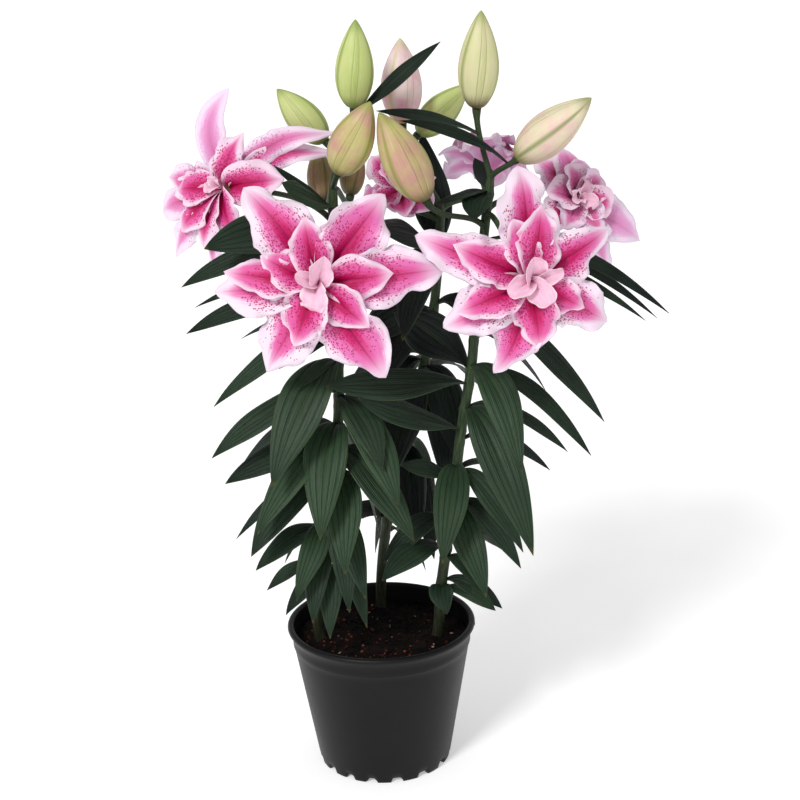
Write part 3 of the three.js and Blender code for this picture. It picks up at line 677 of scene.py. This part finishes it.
def stem_body(plant):
    """A stem with a small swelling under every leaf, and its stalks, which widen into what they
    carry."""
    skin = Skin()
    path = PLANTS[plant]["path"]
    heights = np.linspace(path[0][2], path[-1][2], 170)
    radii = stem_radius(plant, heights)
    for tier in LEAF_TIERS[plant]:
        for leaf in tier:
            radii = radii + 0.5 * bell(heights - leaf[0] + 2, 2.5)
    radii = radii * (1 - 0.3 * smooth_step(path[-1][2] - 12, path[-1][2], heights))
    turn = circle(STEM_SIDES)[None]
    ridges = 1 + 0.03 * np.sin(5 * turn + heights[:, None] / 60) + 0.02 * np.sin(9 * turn)
    rings = rings_along(stem_spots(plant, heights), radii[:, None] * ridges, STEM_SIDES)
    share = ((heights - heights[0]) / (heights[-1] - heights[0]))[:, None]
    skin.tube(rings, triples(share, turn / math.pi - 1, 0.0))
    along = np.linspace(0, 1, 36)
    for index, (name, height) in enumerate(PLANTS[plant]["stalks"].items()):
        points = stalk_path(plant, name, height, along)
        widen = 1.3 if name in BUDS else 3.2
        radii = STALK_RADIUS - 0.4 * np.sin(math.pi * along) + widen * smooth_step(0.82, 1, along)
        radii = radii[:, None] * (1 + 0.03 * np.sin(5 * turn))
        place = triples(1 + along[:, None], turn / math.pi - 1, 0.1 * index)
        skin.tube(rings_along(points, radii, STEM_SIDES), place)
    return skin


# Flowers


def petal_grid(skin, flower, ring, look, seed):
    """One petal. Its midrib is a cubic curve in the plane of the flower's axis and the petal's
    heading: it leaves the axis at the ring's seat, climbs past the throat, and bends back to the tip.
    Across it, the sides rise in a channel near the claw, lie flatter further out, bend back at the
    edges, and wave along them."""
    random = np.random.default_rng(seed)
    middle_of_flower, axis = flower_line(flower)
    right = unit(np.cross(UP, axis))
    over = np.cross(axis, right)
    turn = math.radians(look["angle"])
    heading = right * math.cos(turn) + over * math.sin(turn)
    reach = look["reach"]

    def at(out, front):
        return middle_of_flower + heading * out + axis * front

    along, t, s = blade_shares(44, 27)
    controls = (
        at(ring["start"], ring["seat"]), at(0.15 * reach, ring["throat"]),
        at(0.6 * reach, ring["shoulder"]), at(reach, look["lift"]),
    )
    side = np.cross(axis, heading)
    middle = bezier(controls, along) + (look["sway"] * np.sin(math.pi * along**1.5))[:, None] * side
    middle = middle - (look["nod"] * smooth_step(0.7, 1, along) ** 2)[:, None] * axis
    roll = ring["roll"] * (1 - 0.5 * along)
    peak, fullness = 1.10 + 0.24 * look["blunt"], 1.2 - 0.5 * look["blunt"]
    full = CLAW_WIDTH * (1 - along) + (1.08 * look["width"] - 0.5 * CLAW_WIDTH) * (
        np.sin(math.pi * along**peak) ** fullness
    )
    uneven = 1 + 0.09 * np.sin(13 * t + random.uniform(0, 6, 2)) * t
    uneven = uneven + 0.012 * np.sin(23 * t + random.uniform(0, 6, 2)) * t
    width_here = np.maximum(full, TIP_WIDTH)[:, None] / 2

    a = np.abs(s)
    phase = random.uniform(0, 2 * math.pi, 4)
    turns = 2 * math.pi * EDGE_WAVES * t
    wave = np.where(s > 0, np.sin(turns + phase[0]), np.sin(1.1 * turns + phase[1]))
    frill = np.where(s > 0, np.sin(2.3 * turns + phase[2]), np.sin(2.1 * turns + phase[3]))
    edge = np.where(s > 0, look["left_edge"], look["right_edge"])
    slopes = (
        look["channel"] * smooth_step(0.75, 0.05, t)
        + 0.12
        + 1.0 * bell(a, 0.09) * smooth_step(1.05, 0.6, t)
        - look["recurve"] * a**1.5 * smooth_step(0.1, 0.7, t)
        + look["ruffle"] * wave * a**1.5 * smooth_step(0.3, 0.7, t)
        + 0.5 * look["ruffle"] * frill * a**3 * smooth_step(0.3, 0.6, t)
        - edge * smooth_step(0.45, 0.85, a) * smooth_step(0.4, 0.75, t)
        + 0.22 * np.sin(3 * math.pi * a + phase[0]) * a * smooth_step(0.1, 0.35, t) * smooth_step(1, 0.7, t)
    )
    thickness = PETAL_THICKNESS * (1 - 0.65 * a**2) * (1 - 0.35 * t)
    top, bottom = blade_surface(middle, side, roll, width_here * uneven, slopes, thickness)
    spot = triples(s * width_here + random.uniform(0, 900), run_length(middle)[:, None], 0.0)
    place = triples(t, s, random.uniform())
    skin.sheet(top, bottom, place, (look["deep"], look["pale"], look["lilac"]), spot)


def receptacles():
    """The pale green knob that the petals of each flower stand on: its radius goes as
    sin(pi * t^0.7)^0.6 along its axis, from behind the outer petals to the heart."""
    skin = Skin()
    along = np.linspace(0.02, 0.985, 18)
    radii = KNOB_RADIUS * np.sin(math.pi * along**0.7) ** 0.6
    place = triples(along[:, None], np.linspace(-1, 1, STEM_SIDES)[None], 0.5)
    for flower in FLOWERS.values():
        middle, axis = flower_line(flower)
        points = middle + axis * (OUTER["seat"] - 6) + along[:, None] * axis * KNOB_LENGTH
        skin.tube(rings_along(points, radii, STEM_SIDES), place)
    return skin


# The pot and the soil


def wall_radius(height):
    """The outside of the tapered wall."""
    return FOOT_RADIUS + (WALL_TOP_RADIUS - FOOT_RADIUS) * height / (POT_HEIGHT - BAND_HEIGHT)


def pot_body():
    """The pot is one closed profile turned about Z: underside, foot, tapered wall, a low band, a
    hollow curve up to a round bead, the inside and the floor. The foot is lifted at each notch."""
    band_foot = POT_HEIGHT - BAND_HEIGHT
    outside = [(0.5, 2.2), (30, 2.2), (56, 2.2), (60, 1.8), (62.5, 0.4), (64, 0), (66, 0)]
    outside += [(FOOT_RADIUS - 0.2, 0.8), (FOOT_RADIUS + 0.3, 2.5), (FOOT_RADIUS + 0.8, 5)]
    outside += [(wall_radius(z), z) for z in np.linspace(7, band_foot - 0.6, 24)]
    outside += [(WALL_TOP_RADIUS + 0.35, band_foot), (WALL_TOP_RADIUS + BAND_STEP, band_foot + 0.8)]
    foot_r, foot_z = WALL_TOP_RADIUS + BAND_STEP + 0.1, band_foot + 3
    top_r, top_z = RIM_RADIUS - 0.9, POT_HEIGHT - 5.6
    for share in np.linspace(0, 1, 9)[1:]:
        outside.append((foot_r + (top_r - foot_r) * share**3.2, foot_z + (top_z - foot_z) * share))
    for turn in np.linspace(-0.35, math.pi + 0.1, 14):
        radius = RIM_RADIUS - BEAD_RADIUS + BEAD_RADIUS * math.cos(turn)
        outside.append((radius, POT_HEIGHT - BEAD_RADIUS + BEAD_RADIUS * math.sin(turn)))
    inside = [(MOUTH_RADIUS - 0.5, POT_HEIGHT - 6), (WALL_TOP_RADIUS - WALL, band_foot)]
    inside += [(wall_radius(z) - WALL, z) for z in np.linspace(band_foot - 8, 14, 12)]
    inside += [(64, 10), (60, 7), (54, 5.6), (30, FLOOR_LEVEL), (0.5, FLOOR_LEVEL)]
    profile = np.array(outside + inside)
    turn = circle(POT_SIDES)[None]
    r, z = profile[:, :1], profile[:, 1:]
    at_foot = smooth_step(9, 1, z) * smooth_step(58, 63, r) * (r < FOOT_RADIUS + 3)
    at_foot = at_foot * (np.arange(len(profile))[:, None] < len(outside))
    phase = np.mod(turn * NOTCHES / (2 * math.pi) + 0.1 * np.sin(3 * turn), 1)
    notch = smooth_step(0.28, 0.36, phase) * smooth_step(0.72, 0.64, phase) * at_foot
    nick = smooth_step(POT_HEIGHT - 8, POT_HEIGHT - 2, z) * bell(turn - 2 * math.pi - NICK_ANGLE, 0.012)
    wobble = 1 + 0.0012 * np.sin(2 * turn + 0.5) + 0.0006 * np.sin(5 * turn)
    radius = (r - NOTCH_DEPTH * notch + 1.4 * nick) * wobble
    rings = triples(radius * np.cos(turn), radius * np.sin(turn), z + NOTCH_HEIGHT * notch - 0.8 * nick)
    skin = Skin()
    skin.tube(rings[::-1], 0)
    return skin


def soil_height(x, y):
    """The soil's surface: noise in four sizes, a slight crown, and a mound round each stem."""
    r = np.hypot(x, y)
    height = SOIL_LEVEL - 3 * smooth_step(0.55 * SOIL_RADIUS, SOIL_RADIUS, r)
    for seed, (size, depth) in enumerate(((17, 2.4), (6, 2.0), (2.4, 1.6), (1.2, 0.8)), 1):
        height = height + depth * (lattice_noise(x, y, size, seed) - 0.5)
    for plant in PLANTS:
        spot = stem_spots(plant, SOIL_LEVEL)[0]
        height = height + 2.2 * bell(np.hypot(x - spot[0], y - spot[1]), 14)
    return height


def soil_body(rows=76, sides=220):
    """The soil: rings that grow from the middle over the rough surface, then down the side and back
    to the middle of the underside."""
    below = np.array([(SOIL_RADIUS - 0.6, 122), (76, 60), (66, 14), (58, 9), (30, 7), (0.4, 7)])
    turn = circle(sides)[None]
    radius = np.concatenate([np.linspace(0.4, SOIL_RADIUS, rows), below[:, 0]])[:, None]
    x, y = radius * np.cos(turn), radius * np.sin(turn)
    rings = triples(x, y, soil_height(x, y))
    rings[rows:, :, 2] = below[:, 1:]
    skin = Skin()
    skin.tube(rings[::-1], 0)
    return skin


def crumbs_body():
    """Loose crumbs of peat, fibre and grit on the soil. Each is a small ball of three rings whose
    points are pushed in and out, stretched and turned at random. The reddish ones lie mostly to the
    front and the left."""
    random = np.random.default_rng(11)
    up, turn = vector(-0.62, 0, 0.62)[:, None], circle(6)
    out = np.sqrt(1 - up**2)
    ball = triples(out * np.cos(turn), out * np.sin(turn), up).reshape(-1, 3)
    ball = np.concatenate([[-UP], ball, [UP]])
    radius = (SOIL_RADIUS - 3) * np.sqrt(random.uniform(0, 1, CRUMBS))
    angle = random.uniform(0, 2 * math.pi, CRUMBS)
    x, y = radius * np.cos(angle), radius * np.sin(angle)
    size = 0.5 + 1.3 * random.uniform(0, 1, CRUMBS) ** 3
    stretch = 1 + random.uniform(0, 1.6, CRUMBS) * (random.uniform(0, 1, CRUMBS) > 0.6)
    points = ball[None] * random.uniform(0.7, 1.15, (CRUMBS, len(ball), 1)) * size[:, None, None]
    points = points * triples(stretch, 1.0, 0.7)[:, None]
    spin = random.uniform(0, 2 * math.pi, (CRUMBS, 1))
    cos, sin = np.cos(spin), np.sin(spin)
    turned_x = points[..., 0] * cos - points[..., 1] * sin
    turned_y = points[..., 0] * sin + points[..., 1] * cos
    z = soil_height(x, y) + 0.25 * size
    points = triples(turned_x + x[:, None], turned_y + y[:, None], points[..., 2] + z[:, None])
    front = smooth_step(10, -80, y) * 0.45 + smooth_step(0, -80, x) * 0.15
    red = (random.uniform(0, 1, CRUMBS) < front + 0.05).astype(float)
    pale = (random.uniform(0, 1, CRUMBS) < 0.03).astype(float)
    tone = triples(red, pale, random.uniform(0, 1, CRUMBS))[:, None]
    skin = Skin()
    numbers = skin.add_points(points, 0, np.broadcast_to(tone, points.shape), 0)
    rings = numbers[:, 1:-1].reshape(CRUMBS, len(up), len(turn))
    after = np.roll(rings, -1, axis=2)
    skin.quads(rings[:, :-1], after[:, :-1], after[:, 1:], rings[:, 1:])
    for pole, first, second in ((0, after[:, 0], rings[:, 0]), (-1, rings[:, -1], after[:, -1])):
        skin.faces.extend(triples(numbers[:, pole, None], first, second).reshape(-1, 3).tolist())
    return skin


# Materials


class Value:
    """One number or colour in a material. Arithmetic on numbers adds Math nodes."""

    def __init__(self, finish, socket):
        self.finish, self.socket = finish, socket

    def math(self, operation, *others):
        return self.finish.node("ShaderNodeMath", {"operation": operation}, dict(enumerate([self, *others])))

    def __add__(self, other):
        return self.math("ADD", other)

    def __sub__(self, other):
        return self.math("SUBTRACT", other)

    def __mul__(self, other):
        return self.math("MULTIPLY", other)

    def __rsub__(self, other):
        return self.finish.node("ShaderNodeMath", {"operation": "SUBTRACT"}, {0: other, 1: self})

    __radd__ = __add__
    __rmul__ = __mul__

    def size(self):
        return self.math("ABSOLUTE")

    def between(self, low, high):
        """A smooth step from 0 at low to 1 at high, or down again if low is the larger."""
        settings = {"interpolation_type": "SMOOTHSTEP"}
        return self.finish.node("ShaderNodeMapRange", settings, {0: self, 1: low, 2: high})


def colour_of(value):
    """A link as it is, and a screen colour of 0 to 255 as the linear numbers that a shader takes."""
    if isinstance(value, Value):
        return value
    parts = np.array(value) / 255
    return (*np.where(parts <= 0.04045, parts / 12.92, ((parts + 0.055) / 1.055) ** 2.4), 1)


class Finish:
    """A material: its node tree, and the Principled shader with its constant values."""

    def __init__(self, name, **constants):
        self.material = bpy.data.materials.new(name)
        self.material.use_nodes = True
        self.tree = self.material.node_tree
        self.shader = next(n for n in self.tree.nodes if n.type == "BSDF_PRINCIPLED")
        for label, value in constants.items():
            self.shader.inputs[label.replace("_", " ").title().replace("Ior", "IOR")].default_value = value

    def node(self, kind, settings, inputs, output=0):
        """A node of that kind. Settings are set first, then each input's value or link."""
        node = self.tree.nodes.new(kind)
        for label, value in settings.items():
            setattr(node, label, value)
        for key, value in inputs.items():
            if isinstance(value, Value):
                self.tree.links.new(value.socket, node.inputs[key])
            else:
                node.inputs[key].default_value = value
        return Value(self, node.outputs[output])

    def attribute(self, name):
        """The three numbers of one of the piece's own attributes."""
        whole = self.node("ShaderNodeAttribute", {"attribute_name": name}, {}, "Vector")
        return [self.node("ShaderNodeSeparateXYZ", {}, {0: whole}, axis) for axis in range(3)]

    def join(self, x, y, z=0.0):
        return self.node("ShaderNodeCombineXYZ", {}, {0: x, 1: y, 2: z})

    def noise(self, scale, detail=3, roughness=0.55, where=None):
        """Noise over the piece's own coordinates, or over where."""
        where = where or self.node("ShaderNodeTexCoord", {}, {}, "Object")
        inputs = {"Vector": where, "Scale": scale, "Detail": detail, "Roughness": roughness}
        return self.node("ShaderNodeTexNoise", {}, inputs)

    def streaks(self, x, y, z=0.0, scale=3, detail=4):
        """Noise drawn out along a blade or a stem."""
        return self.noise(scale, detail, where=self.join(x, y, z))

    def mix(self, low, high, share):
        """A colour between two colours."""
        inputs = {0: share, 6: colour_of(low), 7: colour_of(high)}
        return self.node("ShaderNodeMix", {"data_type": "RGBA"}, inputs, 2)

    def link(self, label, value):
        self.tree.links.new(value.socket, self.shader.inputs[label])

    def done(self, colour, height, distance, strength, roughness=None):
        """Links the colour, a bump as much as distance metres high, and a roughness that varies."""
        inputs = {"Height": height, "Distance": distance, "Strength": strength}
        self.link("Base Color", colour)
        self.link("Normal", self.node("ShaderNodeBump", {}, inputs))
        if roughness:
            self.link("Roughness", roughness)
        return self.material


def pot_finish():
    """Black moulded plastic: satin, with faint smears, dust in patches and fine rubbed lines."""
    f = Finish("satin_black_plastic", roughness=0.42, specular_ior_level=0.2)
    smear, dust = f.noise(14, 4), f.noise(420, 2)
    colour = f.mix((7, 7, 8), (20, 20, 21), smear.between(0.35, 0.75) * 0.5 + dust * 0.15)
    return f.done(colour, dust * 0.5 + f.noise(60), 0.00025, 0.5, 0.34 + smear * 0.16 + dust * 0.05)


def soil_finish():
    """Damp peat, nearly black, with brown patches and short reddish fibres."""
    f = Finish("damp_peat", roughness=0.95, specular_ior_level=0.1)
    patch, grain = f.noise(45, 5), f.noise(700, 4, 0.7)
    fleck = f.noise(1100, 2).between(0.62, 0.72)
    ground = f.mix((5, 4, 4), (30, 19, 15), patch.between(0.4, 0.75) * 0.7 + grain * 0.2)
    colour = f.mix(ground, (96, 44, 30), fleck * patch.between(0.45, 0.7))
    return f.done(colour, grain + patch * 0.5, 0.0012, 0.9, 0.75 + grain * 0.25)


def crumb_finish():
    """Peat crumbs: black to brown, some reddish, a few pale grit."""
    f = Finish("peat_crumbs", roughness=0.9, specular_ior_level=0.1)
    red, pale, shade = f.attribute("tone")
    dark = f.mix((5, 4, 4), (26, 17, 14), shade)
    rusty = f.mix((52, 22, 16), (122, 60, 40), shade)
    colour = f.mix(f.mix(dark, rusty, red), (150, 122, 104), pale * 0.8)
    return f.done(colour, f.noise(1500), 0.0004, 0.7)


def stem_finish():
    """Green stem skin: purple-brown low down, streaked lengthwise, with small dark flecks."""
    f = Finish("stem_skin", roughness=0.5, specular_ior_level=0.3)
    along, around, seed = f.attribute("place")
    streak = f.streaks(around * 3, along * 9, seed, 4)
    fleck = f.noise(500, 2).between(0.62, 0.75)
    green = f.mix((30, 46, 28), (66, 86, 50), streak.between(0.3, 0.75))
    brown = f.mix((28, 24, 19), (56, 54, 38), streak.between(0.3, 0.8))
    colour = f.mix(f.mix(green, brown, along.between(0.55, 0.05) * 0.8), (40, 28, 24), fleck * 0.5)
    return f.done(colour, streak + fleck * 0.5, 0.0004, 0.6, 0.42 + streak * 0.2)


def leaf_finish():
    """Satin leaf: dark green with sunken parallel veins, a paler midrib, a thin light edge, and a
    yellow-brown tip. Painted shade makes leaves further back darker and darkens the sunken vein furrows. The
    underside is paler and duller."""
    f = Finish("lily_leaf", roughness=0.42, specular_ior_level=0.3)
    along, across, seed = f.attribute("place")
    # light is painted shade: lower for leaves further back
    light, dry, under = f.attribute("tone")
    off = across.size()
    patch = f.noise(22)
    fibre = f.streaks(across * 26, along * 5, seed * 40)
    veins = (across * (2 * math.pi * LEAF_VEINS)).math("COSINE")
    furrow = veins.between(0.6, 1.0) * off.between(0.98, 0.85)
    fine = (across * (6 * math.pi * LEAF_VEINS)).math("COSINE") * 0.5 + 0.5
    # shade mixes painted shade, the darker green for leaves further back, with random patches and fibres
    shade = (light * 0.75 + patch * 0.5 + fibre * 0.25 - 0.3).between(0, 1)
    body = f.mix((3, 17, 15), (50, 76, 48), shade)
    # Painted shade: the sunken vein furrows and fine veins are painted darker
    body = f.mix(body, (9, 28, 20), furrow * 0.3 + fine * 0.1)
    body = f.mix(body, (76, 96, 60), off.between(0.07, 0.01) * along.between(0.98, 0.4) * 0.4)
    body = f.mix(body, (92, 110, 68), off.between(0.94, 1.0) * 0.45)
    tip = (along + (patch - 0.5) * 0.05).between(0.95, 1.0)
    body = f.mix(body, (140, 120, 62), tip * dry * 0.45)
    body = f.mix(body, (62, 84, 60), under * 0.5)
    height = fibre * 0.4 - furrow - fine * 0.3 + patch * 0.2
    return f.done(body, height, 0.0008, 0.8, 0.36 + fibre * 0.18 + under * 0.1)


def petal_finish(name, edge, middle, band, rib):
    """Velvety petal: pale at the edges and the tip, pink inside, a magenta band along the midrib with
    a darker groove line, crimson freckles raised on the lower half, and yellow-green in the throat.
    The back is pale lilac, with a faint greenish rib."""
    f = Finish(name, roughness=0.6, subsurface_weight=0.1, subsurface_scale=0.003, specular_ior_level=0.3)
    f.shader.inputs["Subsurface Radius"].default_value = (1.0, 0.45, 0.6)
    along, across, seed = f.attribute("place")
    deep, pale, under = f.attribute("tone")
    sheet_across, sheet_along, _ = f.attribute("spot")
    off = across.size()
    cloud = f.noise(55) - 0.5
    streak = f.streaks(across * 9, along * 2.2, seed * 30) - 0.5

    reach = 1.14 - pale * (0.22 + 0.75 * along * along)
    inside = (off + cloud * 0.4 + streak * 0.5).between(reach + 0.04, reach - 0.34)
    inside = inside * along.between(1.03, 0.74 + 0.1 * (1 - pale))
    band_width = 0.8 - 0.66 * along
    centre = (off + streak * 0.35).between(band_width + 0.1, band_width * 0.3)
    centre = centre * along.between(0.98, 0.55) * deep
    groove = off.between(0.08, 0.0) * along.between(0.99, 0.7) * along.between(0.08, 0.3)
    body = f.mix(f.mix(edge, middle, inside), band, centre)
    body = f.mix(body, rib, groove * (0.2 + 0.35 * deep) + centre * centre * 0.35)
    body = f.mix(body, (250, 236, 243), (streak * 1.4 + 0.1).between(0.2, 0.7) * 0.14)
    body = f.mix(body, (190, 190, 88), along.between(0.2, 0.08))

    cell = {"Vector": f.join(sheet_across, sheet_along * 0.8), "Scale": 0.55}
    flat = {"voronoi_dimensions": "2D"}
    speck, chance = (f.node("ShaderNodeTexVoronoi", flat, cell, output) for output in (0, 1))
    luck, luck_size = (f.node("ShaderNodeSeparateColor", {}, {0: chance}, output) for output in (0, 1))
    crowd = along.between(0.9, 0.4) * (1 - off.between(0.6, 1.0)) * along.between(0.1, 0.2)
    crowd = crowd * (1.1 - centre * 0.3)
    radius = 0.22 + 0.16 * luck_size
    freckles = speck.between(radius + 0.08, radius) * (crowd - luck).between(0.0, 0.12)
    body = f.mix(body, (176, 4, 82), freckles * 0.88)

    back = f.mix((240, 216, 238), (226, 144, 202), inside * 0.7 + cloud * 0.3)
    back = f.mix(back, (206, 60, 150), centre * 0.35)
    back = f.mix(back, (190, 198, 160), off.between(0.1, 0.0) * along.between(0.5, 0.1) * 0.35)
    height = freckles * 0.4 + streak * 0.6 + f.noise(900, 2) * 0.25
    return f.done(f.mix(body, back, under), height, 0.0006, 0.6, 0.52 + streak * 0.2)


def heart_finish():
    """The curled small petals of the heart: pale pink, streaked lengthwise, deeper towards the claw."""
    f = Finish(
        "heart_petals", roughness=0.55, subsurface_weight=0.12, subsurface_scale=0.003,
        specular_ior_level=0.3,
    )
    along, across, seed = f.attribute("place")
    streak = f.streaks(across * 8, along * 1.6, seed * 30)
    body = f.mix((244, 200, 220), (232, 138, 182), streak.between(0.4, 0.8) * 0.6)
    body = f.mix(body, (214, 70, 128), along.between(0.4, 0.0) * 0.7)
    body = f.mix(body, (252, 232, 238), across.size().between(0.7, 1.0) * 0.7)
    return f.done(body, streak + f.noise(900, 2) * 0.3, 0.0005, 0.6, 0.42 + streak * 0.2)


# Bud colourings: field, rib, foot, blush and how much blush
BUD_COLOURS = {
    "green": ((190, 204, 124), (120, 146, 62), (112, 130, 58), (216, 206, 160), 0.3),
    "pink": ((240, 218, 216), (206, 204, 140), (180, 158, 116), (232, 150, 184), 0.8),
    "cream": ((206, 208, 150), (136, 150, 74), (92, 74, 48), (222, 206, 180), 0.45),
    "ribbed": ((226, 216, 182), (110, 134, 50), (140, 142, 76), (232, 180, 186), 0.7),
    "blushed": ((192, 184, 118), (132, 144, 50), (102, 88, 44), (196, 142, 134), 0.85),
    "olive": ((136, 124, 74), (90, 88, 44), (70, 60, 36), (176, 130, 116), 0.5),
}


def bud_finish(name, field, rib, foot, blush, blush_share):
    """Smooth bud: a pale field, greener keels and seams, a darker foot and a soft pink blush."""
    f = Finish(name, roughness=0.45, subsurface_weight=0.1, subsurface_scale=0.004, specular_ior_level=0.35)
    along, across, seed = f.attribute("place")
    off = across.size()
    cloud = f.noise(38)
    streak = f.streaks(across * 7, along * 1.5, seed * 50)
    body = f.mix(field, blush, cloud.between(0.35, 0.7) * blush_share)
    body = f.mix(body, (250, 246, 230), streak.between(0.5, 0.85) * 0.3)
    keel = off.between(0.2, 0.0) * along.between(1.06, 0.8)
    inner_rib = off.between(0.86, 1.0)
    seam = (off - 0.84).size().between(0.05, 0.0)
    body = f.mix(body, rib, keel * 0.75 + inner_rib * 0.35)
    body = f.mix(body, foot, seam * 0.45)
    body = f.mix(body, foot, (along + (streak - 0.5) * 0.1).between(0.2, 0.0))
    body = f.mix(body, rib, along.between(0.8, 1.0) * 0.7)
    return f.done(body, streak + f.noise(800, 2) * 0.25, 0.0003, 0.5, 0.36 + streak * 0.2)


def receptacle_finish():
    """The knob under the petals: pale yellow-green, a little streaked."""
    f = Finish("receptacle_green", roughness=0.5)
    along, across, _ = f.attribute("place")
    streak = f.streaks(across * 6, along * 2, scale=4, detail=3)
    return f.done(f.mix((150, 168, 82), (208, 210, 132), streak.between(0.3, 0.7)), streak, 0.0003, 0.5)


def bulb_finish():
    """Bulb scales: pale cream with curved overlapping rows and brown tips."""
    f = Finish("bulb_scales", roughness=0.6)
    here = f.node("ShaderNodeTexCoord", {}, {}, "Object")
    rows = f.node("ShaderNodeTexVoronoi", {"feature": "SMOOTH_F1"}, {"Vector": here, "Scale": 90.0})
    body = f.mix((226, 212, 168), (186, 158, 104), rows.between(0.2, 0.7))
    return f.done(f.mix(body, (120, 84, 52), f.noise(120, 4).between(0.6, 0.8) * 0.6), rows, 0.002, 0.8)


# Putting the plant together


def add_pot_and_soil():
    pot_body().build("nursery_pot", pot_finish(), "pot_plastic", "pot")
    soil_body().build("peat_bed", soil_finish(), "potting_soil", "soil")
    crumbs_body().build("peat_crumbs", crumb_finish(), "potting_soil")


def add_plants():
    stem_skin, leaf_skin, scales = stem_finish(), leaf_finish(), bulb_finish()
    seed = 100
    for plant, tiers in LEAF_TIERS.items():
        stem_body(plant).build(f"{plant}_stem_and_stalks", stem_skin, "stem_green", f"{plant}_stem")
        for index, leaves in enumerate(tiers, 1):
            tier = leaf_tier(plant, leaves, seed)
            tier.build(f"{plant}_leaf_tier_{index}", leaf_skin, "leaf_green", f"{plant}_leaves_{index}")
            seed += len(leaves)
        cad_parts[f"{plant}_bulb"].material_slots[0].material = scales
    for name, (start, (x, y, z, width, rise)) in STALK_LEAVES.items():
        skin = Skin()
        seed += 1
        leaf_grid(skin, vector(*start), vector(x, y, z), width, rise, seed, leaf_painted_shade_and_dry_tip(start[1], seed))
        skin.build(f"{name}_blade", leaf_skin, "leaf_green", name)


def add_buds():
    slots = {"green": "green_bud", "pink": "pink_bud", "olive": "olive_bud"}
    finishes = {name: bud_finish(f"{name}_bud_skin", *colours) for name, colours in BUD_COLOURS.items()}
    for seed, (name, (foot, tip, diameter, colouring)) in enumerate(BUDS.items(), 40):
        skin = bud_body(foot, tip, diameter, seed)
        skin.build(f"{name}_closed", finishes[colouring], slots.get(colouring, "cream_bud"), name)


def add_flowers():
    outer = petal_finish("outer_petals", (244, 222, 238), (226, 114, 178), (212, 4, 108), (150, 0, 72))
    inner = petal_finish("inner_petals", (244, 212, 232), (222, 92, 160), (206, 0, 98), (142, 0, 62))
    rings = (
        ("outer", OUTER, outer, "petals", "outer_petals", "ring"),
        ("inner", INNER, inner, "petals", "inner_petals", "ring"),
        ("heart", HEART, heart_finish(), "heart_petals", "heart", "curls"),
    )
    first_seed = 900
    for name, flower in FLOWERS.items():
        for key, ring, finish, slot, label, ending in rings:
            if key not in flower:
                continue
            skin = Skin()
            for seed, look in enumerate(flower[key], first_seed):
                petal_grid(skin, flower, ring, look, seed)
            skin.build(f"{name}_{label}_{ending}", finish, slot, f"{name}_{label}")
            first_seed += 10
    receptacles().build("flower_receptacles", receptacle_finish(), "petals")


# The stage: floor, light and camera


def add_floor():
    mesh = bpy.data.meshes.new("studio_floor")
    turns = ((-1, -1), (1, -1), (1, 1), (-1, 1))
    mesh.from_pydata([(x * FLOOR_HALF_SIZE, y * FLOOR_HALF_SIZE, 0) for x, y in turns], [], [range(4)])
    f = Finish("white_paper_floor", roughness=0.9, specular_ior_level=0.0, emission_strength=FLOOR_GLOW)
    f.shader.inputs["Emission Color"].default_value = (1, 1, 1, 1)
    f.link("Base Color", f.mix((245.8, 245.8, 245.8), (248.2, 248.2, 248.2), f.noise(3, 2)))
    mesh.materials.append(f.material)
    floor = bpy.data.objects.new("studio_floor", mesh)
    bpy.context.scene.collection.objects.link(floor)


def looking_at(place, aim, roll=0.0):
    """The matrix of a camera or lamp at place that looks along its own -Z at aim. roll turns it about
    that line."""
    back = unit(np.subtract(place, aim))
    level = unit(np.cross(UP, back))
    top = np.cross(back, level)
    right = level * math.cos(roll) + top * math.sin(roll)
    over = top * math.cos(roll) - level * math.sin(roll)
    return Matrix([*np.column_stack([right, over, back, place]).tolist(), [0, 0, 0, 1]])


def add_light():
    world = bpy.data.worlds.new("studio_air")
    world.use_nodes = True
    background = world.node_tree.nodes["Background"]
    background.inputs["Color"].default_value = (1, 1, 1, 1)
    background.inputs["Strength"].default_value = AIR_STRENGTH
    bpy.context.scene.world = world
    lamp = bpy.data.lights.new("key_light", "SUN")
    lamp.energy = SUN_STRENGTH
    lamp.angle = SUN_WIDTH
    light = bpy.data.objects.new("key_light", lamp)
    bpy.context.scene.collection.objects.link(light)
    light.matrix_world = looking_at(SUN_PLACE, (0, 0, 0))


def add_camera():
    data = bpy.data.cameras.new("camera")
    data.sensor_width = FILM_WIDTH
    data.lens = FILM_WIDTH * FOCAL_PIXELS / PICTURE_PIXELS
    camera = bpy.data.objects.new("camera", data)
    bpy.context.scene.collection.objects.link(camera)
    camera.matrix_world = looking_at(CAMERA_PLACE, CAMERA_AIM, CAMERA_ROLL)
    bpy.context.scene.camera = camera


add_camera()
add_light()
add_floor()
add_pot_and_soil()
add_plants()
add_buds()
add_flowers()
bpy.context.scene.view_settings.view_transform = "Standard"
